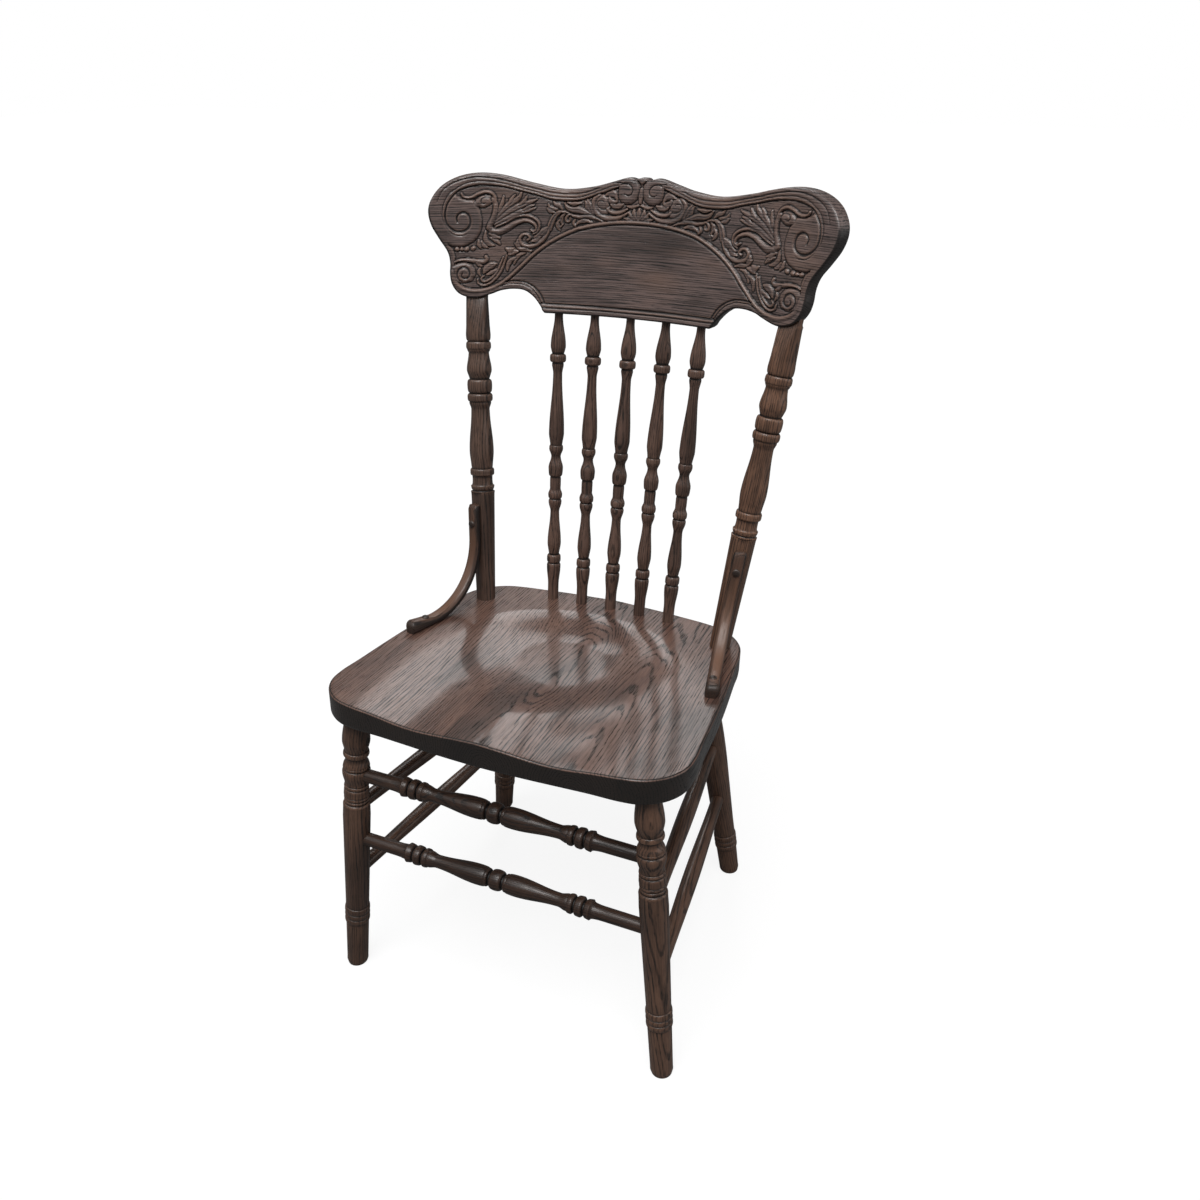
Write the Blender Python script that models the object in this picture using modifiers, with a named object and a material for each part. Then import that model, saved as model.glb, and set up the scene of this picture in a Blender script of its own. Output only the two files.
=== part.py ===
"""Pressed back side chair in stained oak, one object for each piece.

Units are metres, +Z is up, the chair faces -Y and +X is to the right of someone
who looks at its front. The origin lies on the floor under the middle of the chair.
"""

import math

import bmesh
import bpy
from mathutils import Matrix, Vector

# Fits shared by every joint
FIT = 0.0003                 # clearance round tenons, dowels, screws and plugs
SEAT_GRIP = 0.022            # depth of the leg and post tenons in the seat
SPINDLE_GRIP = 0.020         # depth of the spindle ends in the seat and the crest
CREST_GRIP = 0.022           # depth of the post tenons in the crest
STRETCHER_STOP = 0.003       # distance from a stretcher's end to the leg's axis

# Seat plank: outline in the plank's own plane, Y counted from the spindle row
SEAT_HEIGHT = 0.457          # floor to seat top at the spindle row
SEAT_ROW_Y = 0.200           # the spindle row's place, front to back
SEAT_TILT = math.radians(2.9)
SEAT_THICKNESS = 0.038
SEAT_FRONT = 0.402           # spindle row to the front corners
SEAT_BACK = 0.011            # spindle row to the rear corners
SEAT_SHIFT = -0.002          # the plank lies a little to the left of the legs' middle
SEAT_FRONT_WIDTH = 0.519
SEAT_TAPER = 0.079           # how much narrower the plank is at the rear
SEAT_BACK_WIDTH = SEAT_FRONT_WIDTH - SEAT_TAPER
SEAT_FRONT_BOW = 0.008
SEAT_SIDE_BOW = 0.003
SEAT_BACK_BOW = 0.023
SEAT_FRONT_CORNER = 0.068
SEAT_BACK_CORNER = 0.085
SEAT_EDGE_ROUND = 0.008      # rounding of the lower edge
BOWL_DEPTH = 0.013           # the hollow that is sat in
BOWL_Y = -0.150
BOWL_HALF_WIDTH = 0.178
BOWL_HALF_LENGTH = 0.128
BOWL_STEEPNESS = 1.35        # how soon the bowl's wall reaches full depth
THIGH_DEPTH = 0.008          # the two hollows that run out at the front edge
THIGH_X = 0.100
THIGH_HALF_WIDTH = 0.085
THIGH_START_Y = -0.100
THIGH_STEEPNESS = 1.6        # how soon the hollows reach full depth towards the front
THIGH_SPREAD = 1.8           # how fast they fade sideways
SEAT_CELLS = 18              # grid cells across the hollowed top
CORNER_STEPS = 4             # points round each corner of the seat
OUTLINE_STEPS = 2            # points between the knots of a smooth outline

# Legs: tops under the seat counted from its sides and the spindle row, feet splayed from them
FRONT_LEG_INSET = 0.0529
FRONT_LEG_AHEAD = 0.3691     # ahead of the spindle row
FRONT_LEG_SPLAY = 0.0380     # sideways
FRONT_LEG_RAKE = 0.0249      # forward
REAR_LEG_INSET = 0.0593
REAR_LEG_AHEAD = 0.0284
REAR_LEG_SPLAY = 0.0526
REAR_LEG_RAKE = 0.0449       # rearward
FRONT_TOP_X = SEAT_FRONT_WIDTH / 2.0 - FRONT_LEG_INSET
FRONT_TOP_Y = SEAT_ROW_Y - FRONT_LEG_AHEAD
FRONT_FOOT_X = FRONT_TOP_X + FRONT_LEG_SPLAY
FRONT_FOOT_Y = FRONT_TOP_Y - FRONT_LEG_RAKE
REAR_TOP_X = SEAT_BACK_WIDTH / 2.0 - REAR_LEG_INSET
REAR_TOP_Y = SEAT_ROW_Y - REAR_LEG_AHEAD
REAR_FOOT_X = REAR_TOP_X + REAR_LEG_SPLAY
REAR_FOOT_Y = REAR_TOP_Y + REAR_LEG_RAKE
LEG_TENON_RADIUS = 0.0154
FOOT_RADIUS = 0.0154
FOOT_EDGE = 0.0020           # narrowing at the rounded floor end
FOOT_EDGE_HEIGHT = 0.0050
FLOOR_SPARE = 0.0040         # turned length below the floor, sawn off level

# Back posts: feet counted from the seat's side and the spindle row, shoulders in crest coordinates
POST_INSET = 0.0300
POST_AHEAD = 0.0430
POST_X = SEAT_BACK_WIDTH / 2.0 - POST_INSET
POST_Y = SEAT_ROW_Y - POST_AHEAD
POST_BASE_RADIUS = 0.0143
POST_BLOCK_LENGTH = 0.1680   # plain lower part above the seat
POST_BLOCK_RADIUS = 0.0175
POST_TOP_RADIUS = 0.0155
POST_TENON_RADIUS = 0.0075
POST_CREST_S = {"left": -0.2230, "right": 0.2385}    # along the bent face, from its middle
POST_CREST_DEPTH = 0.0115    # behind the crest's front face
POST_LET_IN = 0.0015         # shoulder above the lobe's lower edge
POST_FRONT_PARE = 0.0105     # axis to the pared flats at the shoulder
POST_BACK_PARE = 0.0092
POST_PARE_SLOPE = math.radians(5.0)

# Spindles
SPINDLE_COUNT = 5
SPINDLE_SEAT_SPACING = 0.0476
SPINDLE_CREST_SPACING = 0.0525
SPINDLE_CREST_SHIFT = 0.0008 # the row's middle to the right of the crest's
SPINDLE_CREST_DEPTH = 0.0125 # behind the crest's front face
SPINDLE_ROW_BOW = 0.0009     # rearward curve of the row in the seat
SPINDLE_ROW_SET = 0.0042     # the row's middle behind the seat's reference row
SPINDLE_BASE_RADIUS = 0.0083
SPINDLE_TOP_RADIUS = 0.0060

# Crest rail: bent board, S runs along the bend and H up the leaning face
CREST_RISE = 0.4287          # seat top at the spindle row to the face's zero line
CREST_SET_BACK = 0.0628      # spindle row to the front face at the middle of that line
CREST_HEIGHT = SEAT_HEIGHT + CREST_RISE
CREST_Y = SEAT_ROW_Y + CREST_SET_BACK
CREST_BEND = 0.6090          # radius of the hollow front face
CREST_LEAN = math.radians(15.9)
CREST_THICKNESS = 0.0210     # level thickness, front face to back
CREST_CHAMFER = 0.0025
CREST_CUTS = 14              # straight facets that make up the bend
LOBE_BOTTOM = 0.0160         # H of the lobes' lower edge
TAB_BOTTOM = -0.0030         # H of the straight lower edge
TAB_HALF_WIDTH = 0.1225      # half of the straight lower edge
BEAD_RADIUS = 0.0026         # raised bead of the arched panel
SCROLL_RADIUS = 0.0034       # raised roll of the scrolls

# Hip braces: bent bars from the post down to the seat
BRACE_THICKNESS = 0.0115
BRACE_WIDTH = 0.0180
BRACE_HEADINGS = {"left": math.radians(14.0), "right": math.radians(12.7)}
BRACE_FLAT = 0.0145          # post axis to the flat that the brace lies on
BRACE_BEND = 0.1058          # radius of the bend at mid thickness
BRACE_BEND_STEPS = 9
BRACE_TOP = 0.1480           # post foot to the brace's upper end
BRACE_REACHES = {"left": 0.1600, "right": 0.1470}    # post foot to the front end
BRACE_CHAMFER = 0.0070
BRACE_TOP_FLAT = 0.0060      # flat left of the upper end beside the chamfer
BRACE_NOSE = 0.0040          # rounding of the front end
BRACE_ROUND = 0.0028
BRACE_SCREW_HEIGHT = 0.1210
BRACE_SCREW_REACHES = {"left": 0.1270, "right": 0.1155}

# Screws of the braces and the wooden plugs over them
PLUG_RADIUS = 0.0045
PLUG_HEAD_RADIUS = 0.0056
PLUG_HEAD_HEIGHT = 0.0022
PLUG_HOLE_DEPTH = 0.0070
SCREW_HEAD_RADIUS = 0.0040
SCREW_HEAD_HEIGHT = 0.0028
SCREW_SHANK_RADIUS = 0.0021
SCREW_BITE = 0.0130          # length in the post or the seat

# Stretchers: heights at which their axes meet the leg axes
FRONT_STRETCHER_HEIGHTS = {"upper": 0.345, "lower": 0.236}
SIDE_STRETCHER_HEIGHTS = {   # front and rear end
    "left_upper": (0.288, 0.266),
    "left_lower": (0.173, 0.164),
    "right_upper": (0.281, 0.264),
    "right_lower": (0.163, 0.163),
}
REAR_STRETCHER_HEIGHT = 0.305
FRONT_STRETCHER_RADIUS = 0.0094
PLAIN_STRETCHER_RADIUS = 0.0095
PLAIN_STRETCHER_SWELL = 0.0116

# Sides of the round pieces
LEG_SIDES = 12
POST_SIDES = 12
SPINDLE_SIDES = 8
STRETCHER_SIDES = 10
FASTENER_SIDES = 8
SOCKET_SIDES = 12
SPARE = 0.030                # how far cutters run past what they cut

# Turned outlines as moves: shape, length and the radius at the end of the move
LINE, EASE, BULGE, HOLLOW = "line", "ease", "bulge", "hollow"
MOVE_STEPS = {LINE: 1, EASE: 3, BULGE: 2, HOLLOW: 2}

# Front leg from the seat down: vase, bead, ball with collar, ring, then the shaft
FRONT_LEG_TURNING = (
    (EASE, 0.0380, 0.0183),
    (EASE, 0.0150, 0.0161),
    (BULGE, 0.0040, 0.0169),
    (BULGE, 0.0050, 0.0148),
    (HOLLOW, 0.0040, 0.0145),
    (EASE, 0.0260, 0.0182),
    (EASE, 0.0250, 0.0154),
    (BULGE, 0.0060, 0.0166),
    (BULGE, 0.0050, 0.0154),
    (HOLLOW, 0.0040, 0.0152),
    (HOLLOW, 0.0050, 0.0168),
    (BULGE, 0.0050, 0.0182),
    (BULGE, 0.0050, 0.0172),
    (BULGE, 0.0060, 0.0190),
    (LINE, 0.0110, 0.0190),
)

# Rear leg from the seat down: small bead, then a plain swelling shaft
REAR_LEG_TURNING = (
    (LINE, 0.0060, 0.0146),
    (BULGE, 0.0040, 0.0160),
    (BULGE, 0.0040, 0.0142),
    (EASE, 0.1500, 0.0192),
    (LINE, 0.0200, 0.0192),
)

# Foot from the floor up: plain end and a group of three rings
FOOT_TURNING = (
    (LINE, 0.0770, 0.0166),
    (BULGE, 0.0050, 0.0176),
    (BULGE, 0.0050, 0.0169),
    (BULGE, 0.0045, 0.0177),
    (BULGE, 0.0045, 0.0169),
    (BULGE, 0.0050, 0.0177),
    (BULGE, 0.0050, 0.0166),
    (LINE, 0.0050, 0.0166),
)

# Post above its plain block: beads, long vase, rings, bulb and drum
POST_TURNING = (
    (HOLLOW, 0.0025, 0.0160),
    (BULGE, 0.0060, 0.0171),
    (HOLLOW, 0.0095, 0.0150),
    (HOLLOW, 0.0070, 0.0166),
    (BULGE, 0.0050, 0.0177),
    (BULGE, 0.0050, 0.0160),
    (EASE, 0.0260, 0.0179),
    (EASE, 0.0610, 0.0137),
    (EASE, 0.0120, 0.0163),
    (BULGE, 0.0060, 0.0183),
    (BULGE, 0.0060, 0.0157),
    (BULGE, 0.0110, 0.0181),
    (BULGE, 0.0090, 0.0152),
    (EASE, 0.0140, 0.0180),
    (EASE, 0.0230, 0.0151),
    (EASE, 0.0060, 0.0168),
    (BULGE, 0.0045, 0.0179),
    (BULGE, 0.0065, 0.0160),
    (BULGE, 0.0100, 0.0178),
    (LINE, 0.0120, 0.0170),
)

# Spindle from the seat up
SPINDLE_TURNING = (
    (LINE, 0.0220, 0.0083),
    (EASE, 0.0300, 0.0105),
    (BULGE, 0.0060, 0.0090),
    (BULGE, 0.0065, 0.0105),
    (BULGE, 0.0070, 0.0082),
    (EASE, 0.0190, 0.0102),
    (EASE, 0.0480, 0.0068),
    (EASE, 0.0160, 0.0097),
    (BULGE, 0.0045, 0.0086),
    (BULGE, 0.0065, 0.0104),
    (EASE, 0.0100, 0.0082),
    (LINE, 0.0180, 0.0083),
    (BULGE, 0.0125, 0.0108),
    (EASE, 0.0175, 0.0073),
    (EASE, 0.0120, 0.0102),
    (BULGE, 0.0050, 0.0092),
    (EASE, 0.0185, 0.0112),
    (EASE, 0.0850, 0.0067),
    (EASE, 0.0170, 0.0088),
    (BULGE, 0.0060, 0.0116),
    (BULGE, 0.0060, 0.0093),
    (EASE, 0.0115, 0.0109),
    (EASE, 0.0420, 0.0060),
)

# Front stretcher from its middle outward: barrel, swelling body, ring, ball, ring
STRETCHER_MIDDLE_RADIUS = 0.0141
FRONT_STRETCHER_TURNING = (
    (LINE, 0.0050, 0.0140),
    (BULGE, 0.0100, 0.0108),
    (BULGE, 0.0130, 0.0137),
    (EASE, 0.0630, 0.0091),
    (EASE, 0.0140, 0.0118),
    (BULGE, 0.0040, 0.0128),
    (BULGE, 0.0055, 0.0109),
    (BULGE, 0.0075, 0.0132),
    (BULGE, 0.0070, 0.0112),
    (BULGE, 0.0085, 0.0129),
    (HOLLOW, 0.0175, 0.0096),
)

# Half of the crest's outline from the top middle to the tab corner, as (S, H)
CREST_OUTLINE = (
    (0.0000, 0.1782),
    (0.0250, 0.1774),
    (0.0490, 0.1728),
    (0.0750, 0.1660),
    (0.1120, 0.1623),
    (0.1545, 0.1692),
    (0.1990, 0.1796),
    (0.2330, 0.1824),
    (0.2610, 0.1776),
    (0.2830, 0.1658),
    (0.2960, 0.1488),
    (0.2990, 0.1325),
    (0.2935, 0.1145),
    (0.2815, 0.0965),
    (0.2685, 0.0790),
    (0.2635, 0.0640),
    (0.2625, 0.0480),
    (0.2585, 0.0340),
    (0.2485, 0.0220),
    (0.2330, LOBE_BOTTOM),
    (0.2190, LOBE_BOTTOM),
    (0.2005, 0.0215),
    (0.1880, 0.0262),
    (0.1715, 0.0286),
    (0.1550, 0.0272),
    (0.1410, 0.0190),
    (0.1300, 0.0070),
    (0.1260, 0.0000),
)

# Half of the arched bead from its crown to its foot, as (S, H)
ARCH_PATH = (
    (0.0000, 0.1240),
    (0.0490, 0.1205),
    (0.0920, 0.1100),
    (0.1200, 0.0960),
    (0.1440, 0.0785),
    (0.1670, 0.0555),
    (0.1830, 0.0385),
)

# Scrolls: eye as (S, H), first and last radius, first direction and turns
MIDDLE_SCROLL = ((0.0190, 0.1625), 0.0042, 0.0130, math.radians(54.0), -0.90)
EAR_SCROLL = ((0.2490, 0.1225), 0.0370, 0.0050, math.radians(60.0), -2.0)
LOBE_SCROLL = ((0.2385, 0.0490), 0.0190, 0.0035, math.radians(120.0), -2.0)
SCROLL_POINTS = 10           # points for each full turn

# Rolled rim from the middle scroll to the ear scroll, as (S, H)
RIM_PATH = (
    (0.0300, 0.1735),
    (0.0520, 0.1670),
    (0.0770, 0.1590),
    (0.1130, 0.1545),
    (0.1560, 0.1620),
    (0.1990, 0.1725),
    (0.2330, 0.1750),
)


def clear_scene():
    """Remove every object of the scene."""
    for item in list(bpy.data.objects):
        bpy.data.objects.remove(item, do_unlink=True)


def new_collection(name):
    """Make a collection in the scene."""
    group = bpy.data.collections.new(name)
    bpy.context.scene.collection.children.link(group)
    return group


clear_scene()
PARTS = new_collection("pressed_back_chair")
CUTTERS = new_collection("cutters")
ROOT = bpy.data.objects.new("chair_root", None)
PARTS.objects.link(ROOT)


def finish(name, colour, roughness, metallic=0.0):
    """Make a plain material from colour, roughness and metallic value."""
    material = bpy.data.materials.new(name)
    material.use_nodes = True
    shader = material.node_tree.nodes["Principled BSDF"]
    shader.inputs["Base Color"].default_value = (*colour, 1.0)
    shader.inputs["Roughness"].default_value = roughness
    shader.inputs["Metallic"].default_value = metallic
    material.diffuse_color = (*colour, 1.0)
    return material


SEAT_OAK = finish("seat_oak", (0.090, 0.055, 0.043), 0.36)
CREST_OAK = finish("crest_oak", (0.060, 0.039, 0.030), 0.45)
TURNED_OAK = finish("turned_oak", (0.052, 0.031, 0.022), 0.40)
BRACE_OAK = finish("brace_oak", (0.070, 0.040, 0.027), 0.38)
PLUG_OAK = finish("plug_oak", (0.035, 0.021, 0.015), 0.40)
SCREW_STEEL = finish("screw_steel", (0.55, 0.54, 0.52), 0.35, 1.0)


def add_part(name, mesh, material, matrix=Matrix.Identity(4)):
    """Add a named piece of the chair under the root."""
    part = bpy.data.objects.new(name, mesh)
    PARTS.objects.link(part)
    part.parent = ROOT
    part.matrix_world = matrix
    mesh.materials.append(material)
    return part


def add_cutter(name, mesh, matrix=Matrix.Identity(4)):
    """Add a hidden shape that cuts or joins a piece."""
    cutter = bpy.data.objects.new(name, mesh)
    CUTTERS.objects.link(cutter)
    cutter.parent = ROOT
    cutter.matrix_world = matrix
    cutter.hide_render = True
    cutter.display_type = "WIRE"
    return cutter


def combine(part, other, operation):
    """Cut a piece with another shape, join them or keep what both fill."""
    boolean = part.modifiers.new(other.name, "BOOLEAN")
    boolean.operation = operation
    boolean.solver = "EXACT"
    boolean.object = other


def frame_along(start, direction):
    """Give the placing whose Z axis runs along a direction from a point."""
    turn = direction.to_track_quat("Z", "Y").to_matrix().to_4x4()
    return Matrix.Translation(start) @ turn


def plane_hit(point, direction, plane_point, plane_normal):
    """Give the point where a line meets a plane."""
    reach = (plane_point - point).dot(plane_normal) / direction.dot(plane_normal)
    return point + direction * reach


def move_share(shape, part, rising):
    """Give the shares of length and of radius change after part of a move."""
    if shape == LINE:
        return part, part
    if shape == EASE:
        return part, (1.0 - math.cos(math.pi * part)) / 2.0
    turn = part * math.pi / 2.0
    steep_first = (1.0 - math.cos(turn), math.sin(turn))
    flat_first = (math.sin(turn), 1.0 - math.cos(turn))
    return steep_first if (shape == BULGE) == rising else flat_first


def trace(radius, moves):
    """Follow turned moves and give points of distance and radius."""
    points = [(0.0, radius)]
    along = 0.0
    for shape, length, end in moves:
        steps = MOVE_STEPS[shape]
        for step in range(1, steps + 1):
            far, change = move_share(shape, step / steps, end > radius)
            points.append((along + length * far, radius + (end - radius) * change))
        along += length
        radius = end
    return points


def turned(name, outline, sides, material, matrix):
    """Turn an outline of height and radius, listed top to bottom, about Z."""
    top = (outline[0][0], 0.0)
    bottom = (outline[-1][0], 0.0)
    profile = [top] + list(outline) + [bottom]
    mesh = bpy.data.meshes.new(name)
    shape = bmesh.new()
    corners = [shape.verts.new((radius, 0.0, height)) for height, radius in profile]
    for upper, lower in zip(corners, corners[1:]):
        shape.edges.new((upper, lower))
    shape.to_mesh(mesh)
    shape.free()
    part = add_part(name, mesh, material, matrix)
    screw = part.modifiers.new("turn", "SCREW")
    screw.axis = "Z"
    screw.steps = sides
    screw.render_steps = sides
    screw.use_merge_vertices = True
    screw.merge_threshold = 0.00001
    screw.use_smooth_shade = True
    return part


def drill(shape, start, direction, depth, radius, outside=SPARE):
    """Add a round cutter from outside a surface point to a depth under it."""
    length = depth + outside
    middle = start + direction.normalized() * (depth - outside) / 2.0
    bmesh.ops.create_cone(
        shape,
        cap_ends=True,
        segments=SOCKET_SIDES,
        radius1=radius / math.cos(math.pi / SOCKET_SIDES),
        radius2=radius / math.cos(math.pi / SOCKET_SIDES),
        depth=length,
        matrix=frame_along(middle, direction),
    )


def cut_sockets(part, sockets):
    """Cut round sockets, each a start, direction, depth, radius and outside length."""
    for number, socket in enumerate(sockets, 1):
        shape = bmesh.new()
        drill(shape, *socket)
        mesh = bpy.data.meshes.new(f"{part.name}_socket_{number}")
        shape.to_mesh(mesh)
        shape.free()
        combine(part, add_cutter(mesh.name, mesh), "DIFFERENCE")


def cut_flat(part, name, point, normal, along, length):
    """Plane a flat through a point, with the waste on the normal's side."""
    size = 4.0 * SPARE
    shape = bmesh.new()
    bmesh.ops.create_cube(shape, size=1.0)
    bmesh.ops.scale(shape, vec=(size, size, length), verts=shape.verts)
    mesh = bpy.data.meshes.new(name)
    shape.to_mesh(mesh)
    shape.free()
    upright = (along - normal * along.dot(normal)).normalized()
    across = upright.cross(normal)
    turn = Matrix((normal, across, upright)).transposed().to_4x4()
    middle = point + normal * size / 2.0 + upright * length / 2.0
    combine(part, add_cutter(name, mesh, Matrix.Translation(middle) @ turn), "DIFFERENCE")


def beyond(end, inner):
    """Give the point past the end of a run, mirrored where the end is on the middle line."""
    if end.x == 0.0:
        return Vector((-inner.x, inner.y))
    return end * 2.0 - inner


def smooth_run(points):
    """Give points on a smooth curve through a run of points, ends included."""
    knots = [Vector(point) for point in points]
    knots = [beyond(knots[0], knots[1])] + knots + [beyond(knots[-1], knots[-2])]
    run = []
    for a, b, c, d in zip(knots, knots[1:], knots[2:], knots[3:]):
        for step in range(OUTLINE_STEPS):
            t = step / OUTLINE_STEPS
            run.append(0.5 * (2.0 * b + (c - a) * t + (2.0 * a - 5.0 * b + 4.0 * c - d) * t * t
                              + (3.0 * b - 3.0 * c + d - a) * t ** 3))
    return run + [knots[-2]]


def mirrored_loop(half):
    """Close half an outline that starts and ends on the middle line."""
    back = [Vector((-point.x, point.y)) for point in reversed(half[1:-1])]
    return list(half) + back


def fillet(before, corner, after, radius):
    """Give the arc that rounds a corner between two straight lines."""
    first = (Vector(before) - Vector(corner)).normalized()
    last = (Vector(after) - Vector(corner)).normalized()
    half_angle = first.angle(last) / 2.0
    middle = (first + last).normalized()
    centre = Vector(corner) + middle * radius / math.sin(half_angle)
    start = Vector(corner) + first * radius / math.tan(half_angle) - centre
    end = Vector(corner) + last * radius / math.tan(half_angle) - centre
    sweep = start.angle_signed(end)
    turns = [Matrix.Rotation(-sweep * step / CORNER_STEPS, 2) for step in range(CORNER_STEPS + 1)]
    return [centre + turn @ start for turn in turns]


def flat_solid(name, loop, half_thickness, rounding, resolution):
    """Make a mesh from a flat closed outline with rounded edges."""
    curve = bpy.data.curves.new(name, "CURVE")
    curve.dimensions = "2D"
    curve.fill_mode = "BOTH"
    curve.extrude = half_thickness - rounding
    curve.bevel_depth = rounding
    curve.bevel_resolution = resolution
    curve.offset = -rounding
    spline = curve.splines.new("POLY")
    spline.points.add(len(loop) - 1)
    for place, point in zip(spline.points, loop):
        place.co = (point.x, point.y, 0.0, 1.0)
    spline.use_cyclic_u = True
    return mesh_of_curve(name, curve)


def tube(name, points, radii, resolution=1):
    """Make a round bar mesh along points, with its radius at each."""
    curve = bpy.data.curves.new(name, "CURVE")
    curve.dimensions = "3D"
    curve.bevel_depth = 1.0
    curve.bevel_resolution = resolution
    curve.use_fill_caps = True
    spline = curve.splines.new("POLY")
    spline.points.add(len(points) - 1)
    for place, point, radius in zip(spline.points, points, radii):
        place.co = (*point, 1.0)
        place.radius = radius
    return mesh_of_curve(name, curve)


def mesh_of_curve(name, curve):
    """Turn curve data into a welded mesh and remove the curve."""
    item = bpy.data.objects.new(name, curve)
    CUTTERS.objects.link(item)
    graph = bpy.context.evaluated_depsgraph_get()
    mesh = bpy.data.meshes.new_from_object(item.evaluated_get(graph))
    mesh.name = name
    bpy.data.objects.remove(item, do_unlink=True)
    shape = bmesh.new()
    shape.from_mesh(mesh)
    bmesh.ops.remove_doubles(shape, verts=shape.verts, dist=0.00001)
    bmesh.ops.recalc_face_normals(shape, faces=shape.faces)
    shape.to_mesh(mesh)
    shape.free()
    return mesh


# The seat's plane, which legs, posts, spindles and braces all start from
SEAT_ORIGIN = Vector((0.0, SEAT_ROW_Y, SEAT_HEIGHT))
SEAT_TURN = Matrix.Rotation(-SEAT_TILT, 4, "X")
SEAT_UP = SEAT_TURN.to_3x3() @ Vector((0.0, 0.0, 1.0))
SEAT_UNDER = SEAT_ORIGIN - SEAT_UP * SEAT_THICKNESS
DOWN = Vector((0.0, 0.0, -1.0))


def on_plane(x, y, plane_point):
    """Give the point straight above or below a place on a plane along the seat."""
    return plane_hit(Vector((x, y, 0.0)), DOWN, plane_point, SEAT_UP)


def crest_point(along, up, behind):
    """Give the point of the bent, leaning crest at S, H and a depth behind its face."""
    turn = along / CREST_BEND
    reach = CREST_BEND + behind
    return Vector((
        reach * math.sin(turn),
        CREST_Y - CREST_BEND + reach * math.cos(turn) + up * math.sin(CREST_LEAN),
        CREST_HEIGHT + up * math.cos(CREST_LEAN),
    ))


class Leg:
    """Axis of a splayed leg from the floor to the seat's underside."""

    def __init__(self, foot_x, foot_y, top_x, top_y):
        self.foot = Vector((foot_x, foot_y, 0.0))
        self.top = on_plane(top_x, top_y, SEAT_UNDER)
        self.axis = (self.top - self.foot).normalized()
        self.length = (self.top - self.foot).length
        self.sockets = []

    def at_height(self, height):
        """Give the axis point at a height above the floor."""
        return self.foot + self.axis * (height / self.axis.z)


class Post:
    """Axis of a back post from the seat to its shoulder under the crest."""

    def __init__(self, hand):
        side = SIDES[hand]
        heading = BRACE_HEADINGS[hand]
        self.foot = on_plane(side * POST_X, POST_Y, SEAT_ORIGIN)
        shoulder_up = LOBE_BOTTOM + POST_LET_IN
        self.shoulder = crest_point(POST_CREST_S[hand], shoulder_up, POST_CREST_DEPTH)
        self.axis = (self.shoulder - self.foot).normalized()
        self.length = (self.shoulder - self.foot).length
        ahead = Vector((side * math.sin(heading), -math.cos(heading), 0.0))
        self.run = (ahead - SEAT_UP * ahead.dot(SEAT_UP)).normalized()
        self.outward = (self.run - self.axis * self.run.dot(self.axis)).normalized()
        self.drop = math.asin(self.run.dot(self.axis))
        self.sockets = []


SIDES = {"left": -1, "right": 1}
LEGS = {
    f"{row}_leg_{hand}": Leg(side * foot_x, foot_y, side * top_x, top_y)
    for hand, side in SIDES.items()
    for row, foot_x, foot_y, top_x, top_y in (
        ("front", FRONT_FOOT_X, FRONT_FOOT_Y, FRONT_TOP_X, FRONT_TOP_Y),
        ("rear", REAR_FOOT_X, REAR_FOOT_Y, REAR_TOP_X, REAR_TOP_Y),
    )
}
POSTS = {hand: Post(hand) for hand in SIDES}
SEAT_SOCKETS = []
CREST_SOCKETS = []


def leg_outline(length, turning):
    """Give a leg's outline from its tenon's top to below the floor."""
    upper = [(length - far, radius) for far, radius in trace(LEG_TENON_RADIUS, turning)]
    foot = [(FOOT_EDGE_HEIGHT + far, radius) for far, radius in trace(FOOT_RADIUS, FOOT_TURNING)]
    tenon = [(length + SEAT_GRIP, LEG_TENON_RADIUS)]
    floor_end = [(-FLOOR_SPARE, FOOT_RADIUS - FOOT_EDGE)]
    return tenon + upper + foot[::-1] + floor_end


def floor_cutter():
    """Make the slab under the floor that saws the feet level."""
    shape = bmesh.new()
    bmesh.ops.create_cube(shape, size=1.0)
    bmesh.ops.translate(shape, vec=(0.0, 0.0, -0.5), verts=shape.verts)
    mesh = bpy.data.meshes.new("floor_level")
    shape.to_mesh(mesh)
    shape.free()
    return add_cutter("floor_level", mesh)


def build_legs():
    """Make the four legs with their stretcher sockets and level feet."""
    floor = floor_cutter()
    for name, leg in LEGS.items():
        turning = FRONT_LEG_TURNING if name.startswith("front") else REAR_LEG_TURNING
        outline = leg_outline(leg.length, turning)
        part = turned(name, outline, LEG_SIDES, TURNED_OAK, frame_along(leg.foot, leg.axis))
        combine(part, floor, "DIFFERENCE")
        cut_sockets(part, leg.sockets)
        SEAT_SOCKETS.append((leg.top, leg.axis, SEAT_GRIP + FIT, LEG_TENON_RADIUS + FIT))


def build_stretcher(name, first, first_height, last, last_height, radius, half_turning, middle):
    """Make a turned rail between two legs and note its sockets in them."""
    start = first.at_height(first_height)
    end = last.at_height(last_height)
    axis = (end - start).normalized()
    half = (end - start).length / 2.0 - STRETCHER_STOP
    outer = trace(middle, half_turning) + [(half, radius)]
    outline = [(far, wide) for far, wide in outer[::-1]] + [(-far, wide) for far, wide in outer[1:]]
    turned(name, outline, STRETCHER_SIDES, TURNED_OAK, frame_along((start + end) / 2.0, axis))
    depth = SPARE - STRETCHER_STOP + FIT
    first.sockets.append((start + axis * SPARE, -axis, depth, radius + FIT, 0.0))
    last.sockets.append((end - axis * SPARE, axis, depth, radius + FIT, 0.0))


def plain_rail_turning(first, first_height, last, last_height):
    """Give the moves of a plain rail that swells a little in its middle."""
    length = (last.at_height(last_height) - first.at_height(first_height)).length
    return ((EASE, length / 2.0 - SPARE, PLAIN_STRETCHER_RADIUS),)


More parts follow.
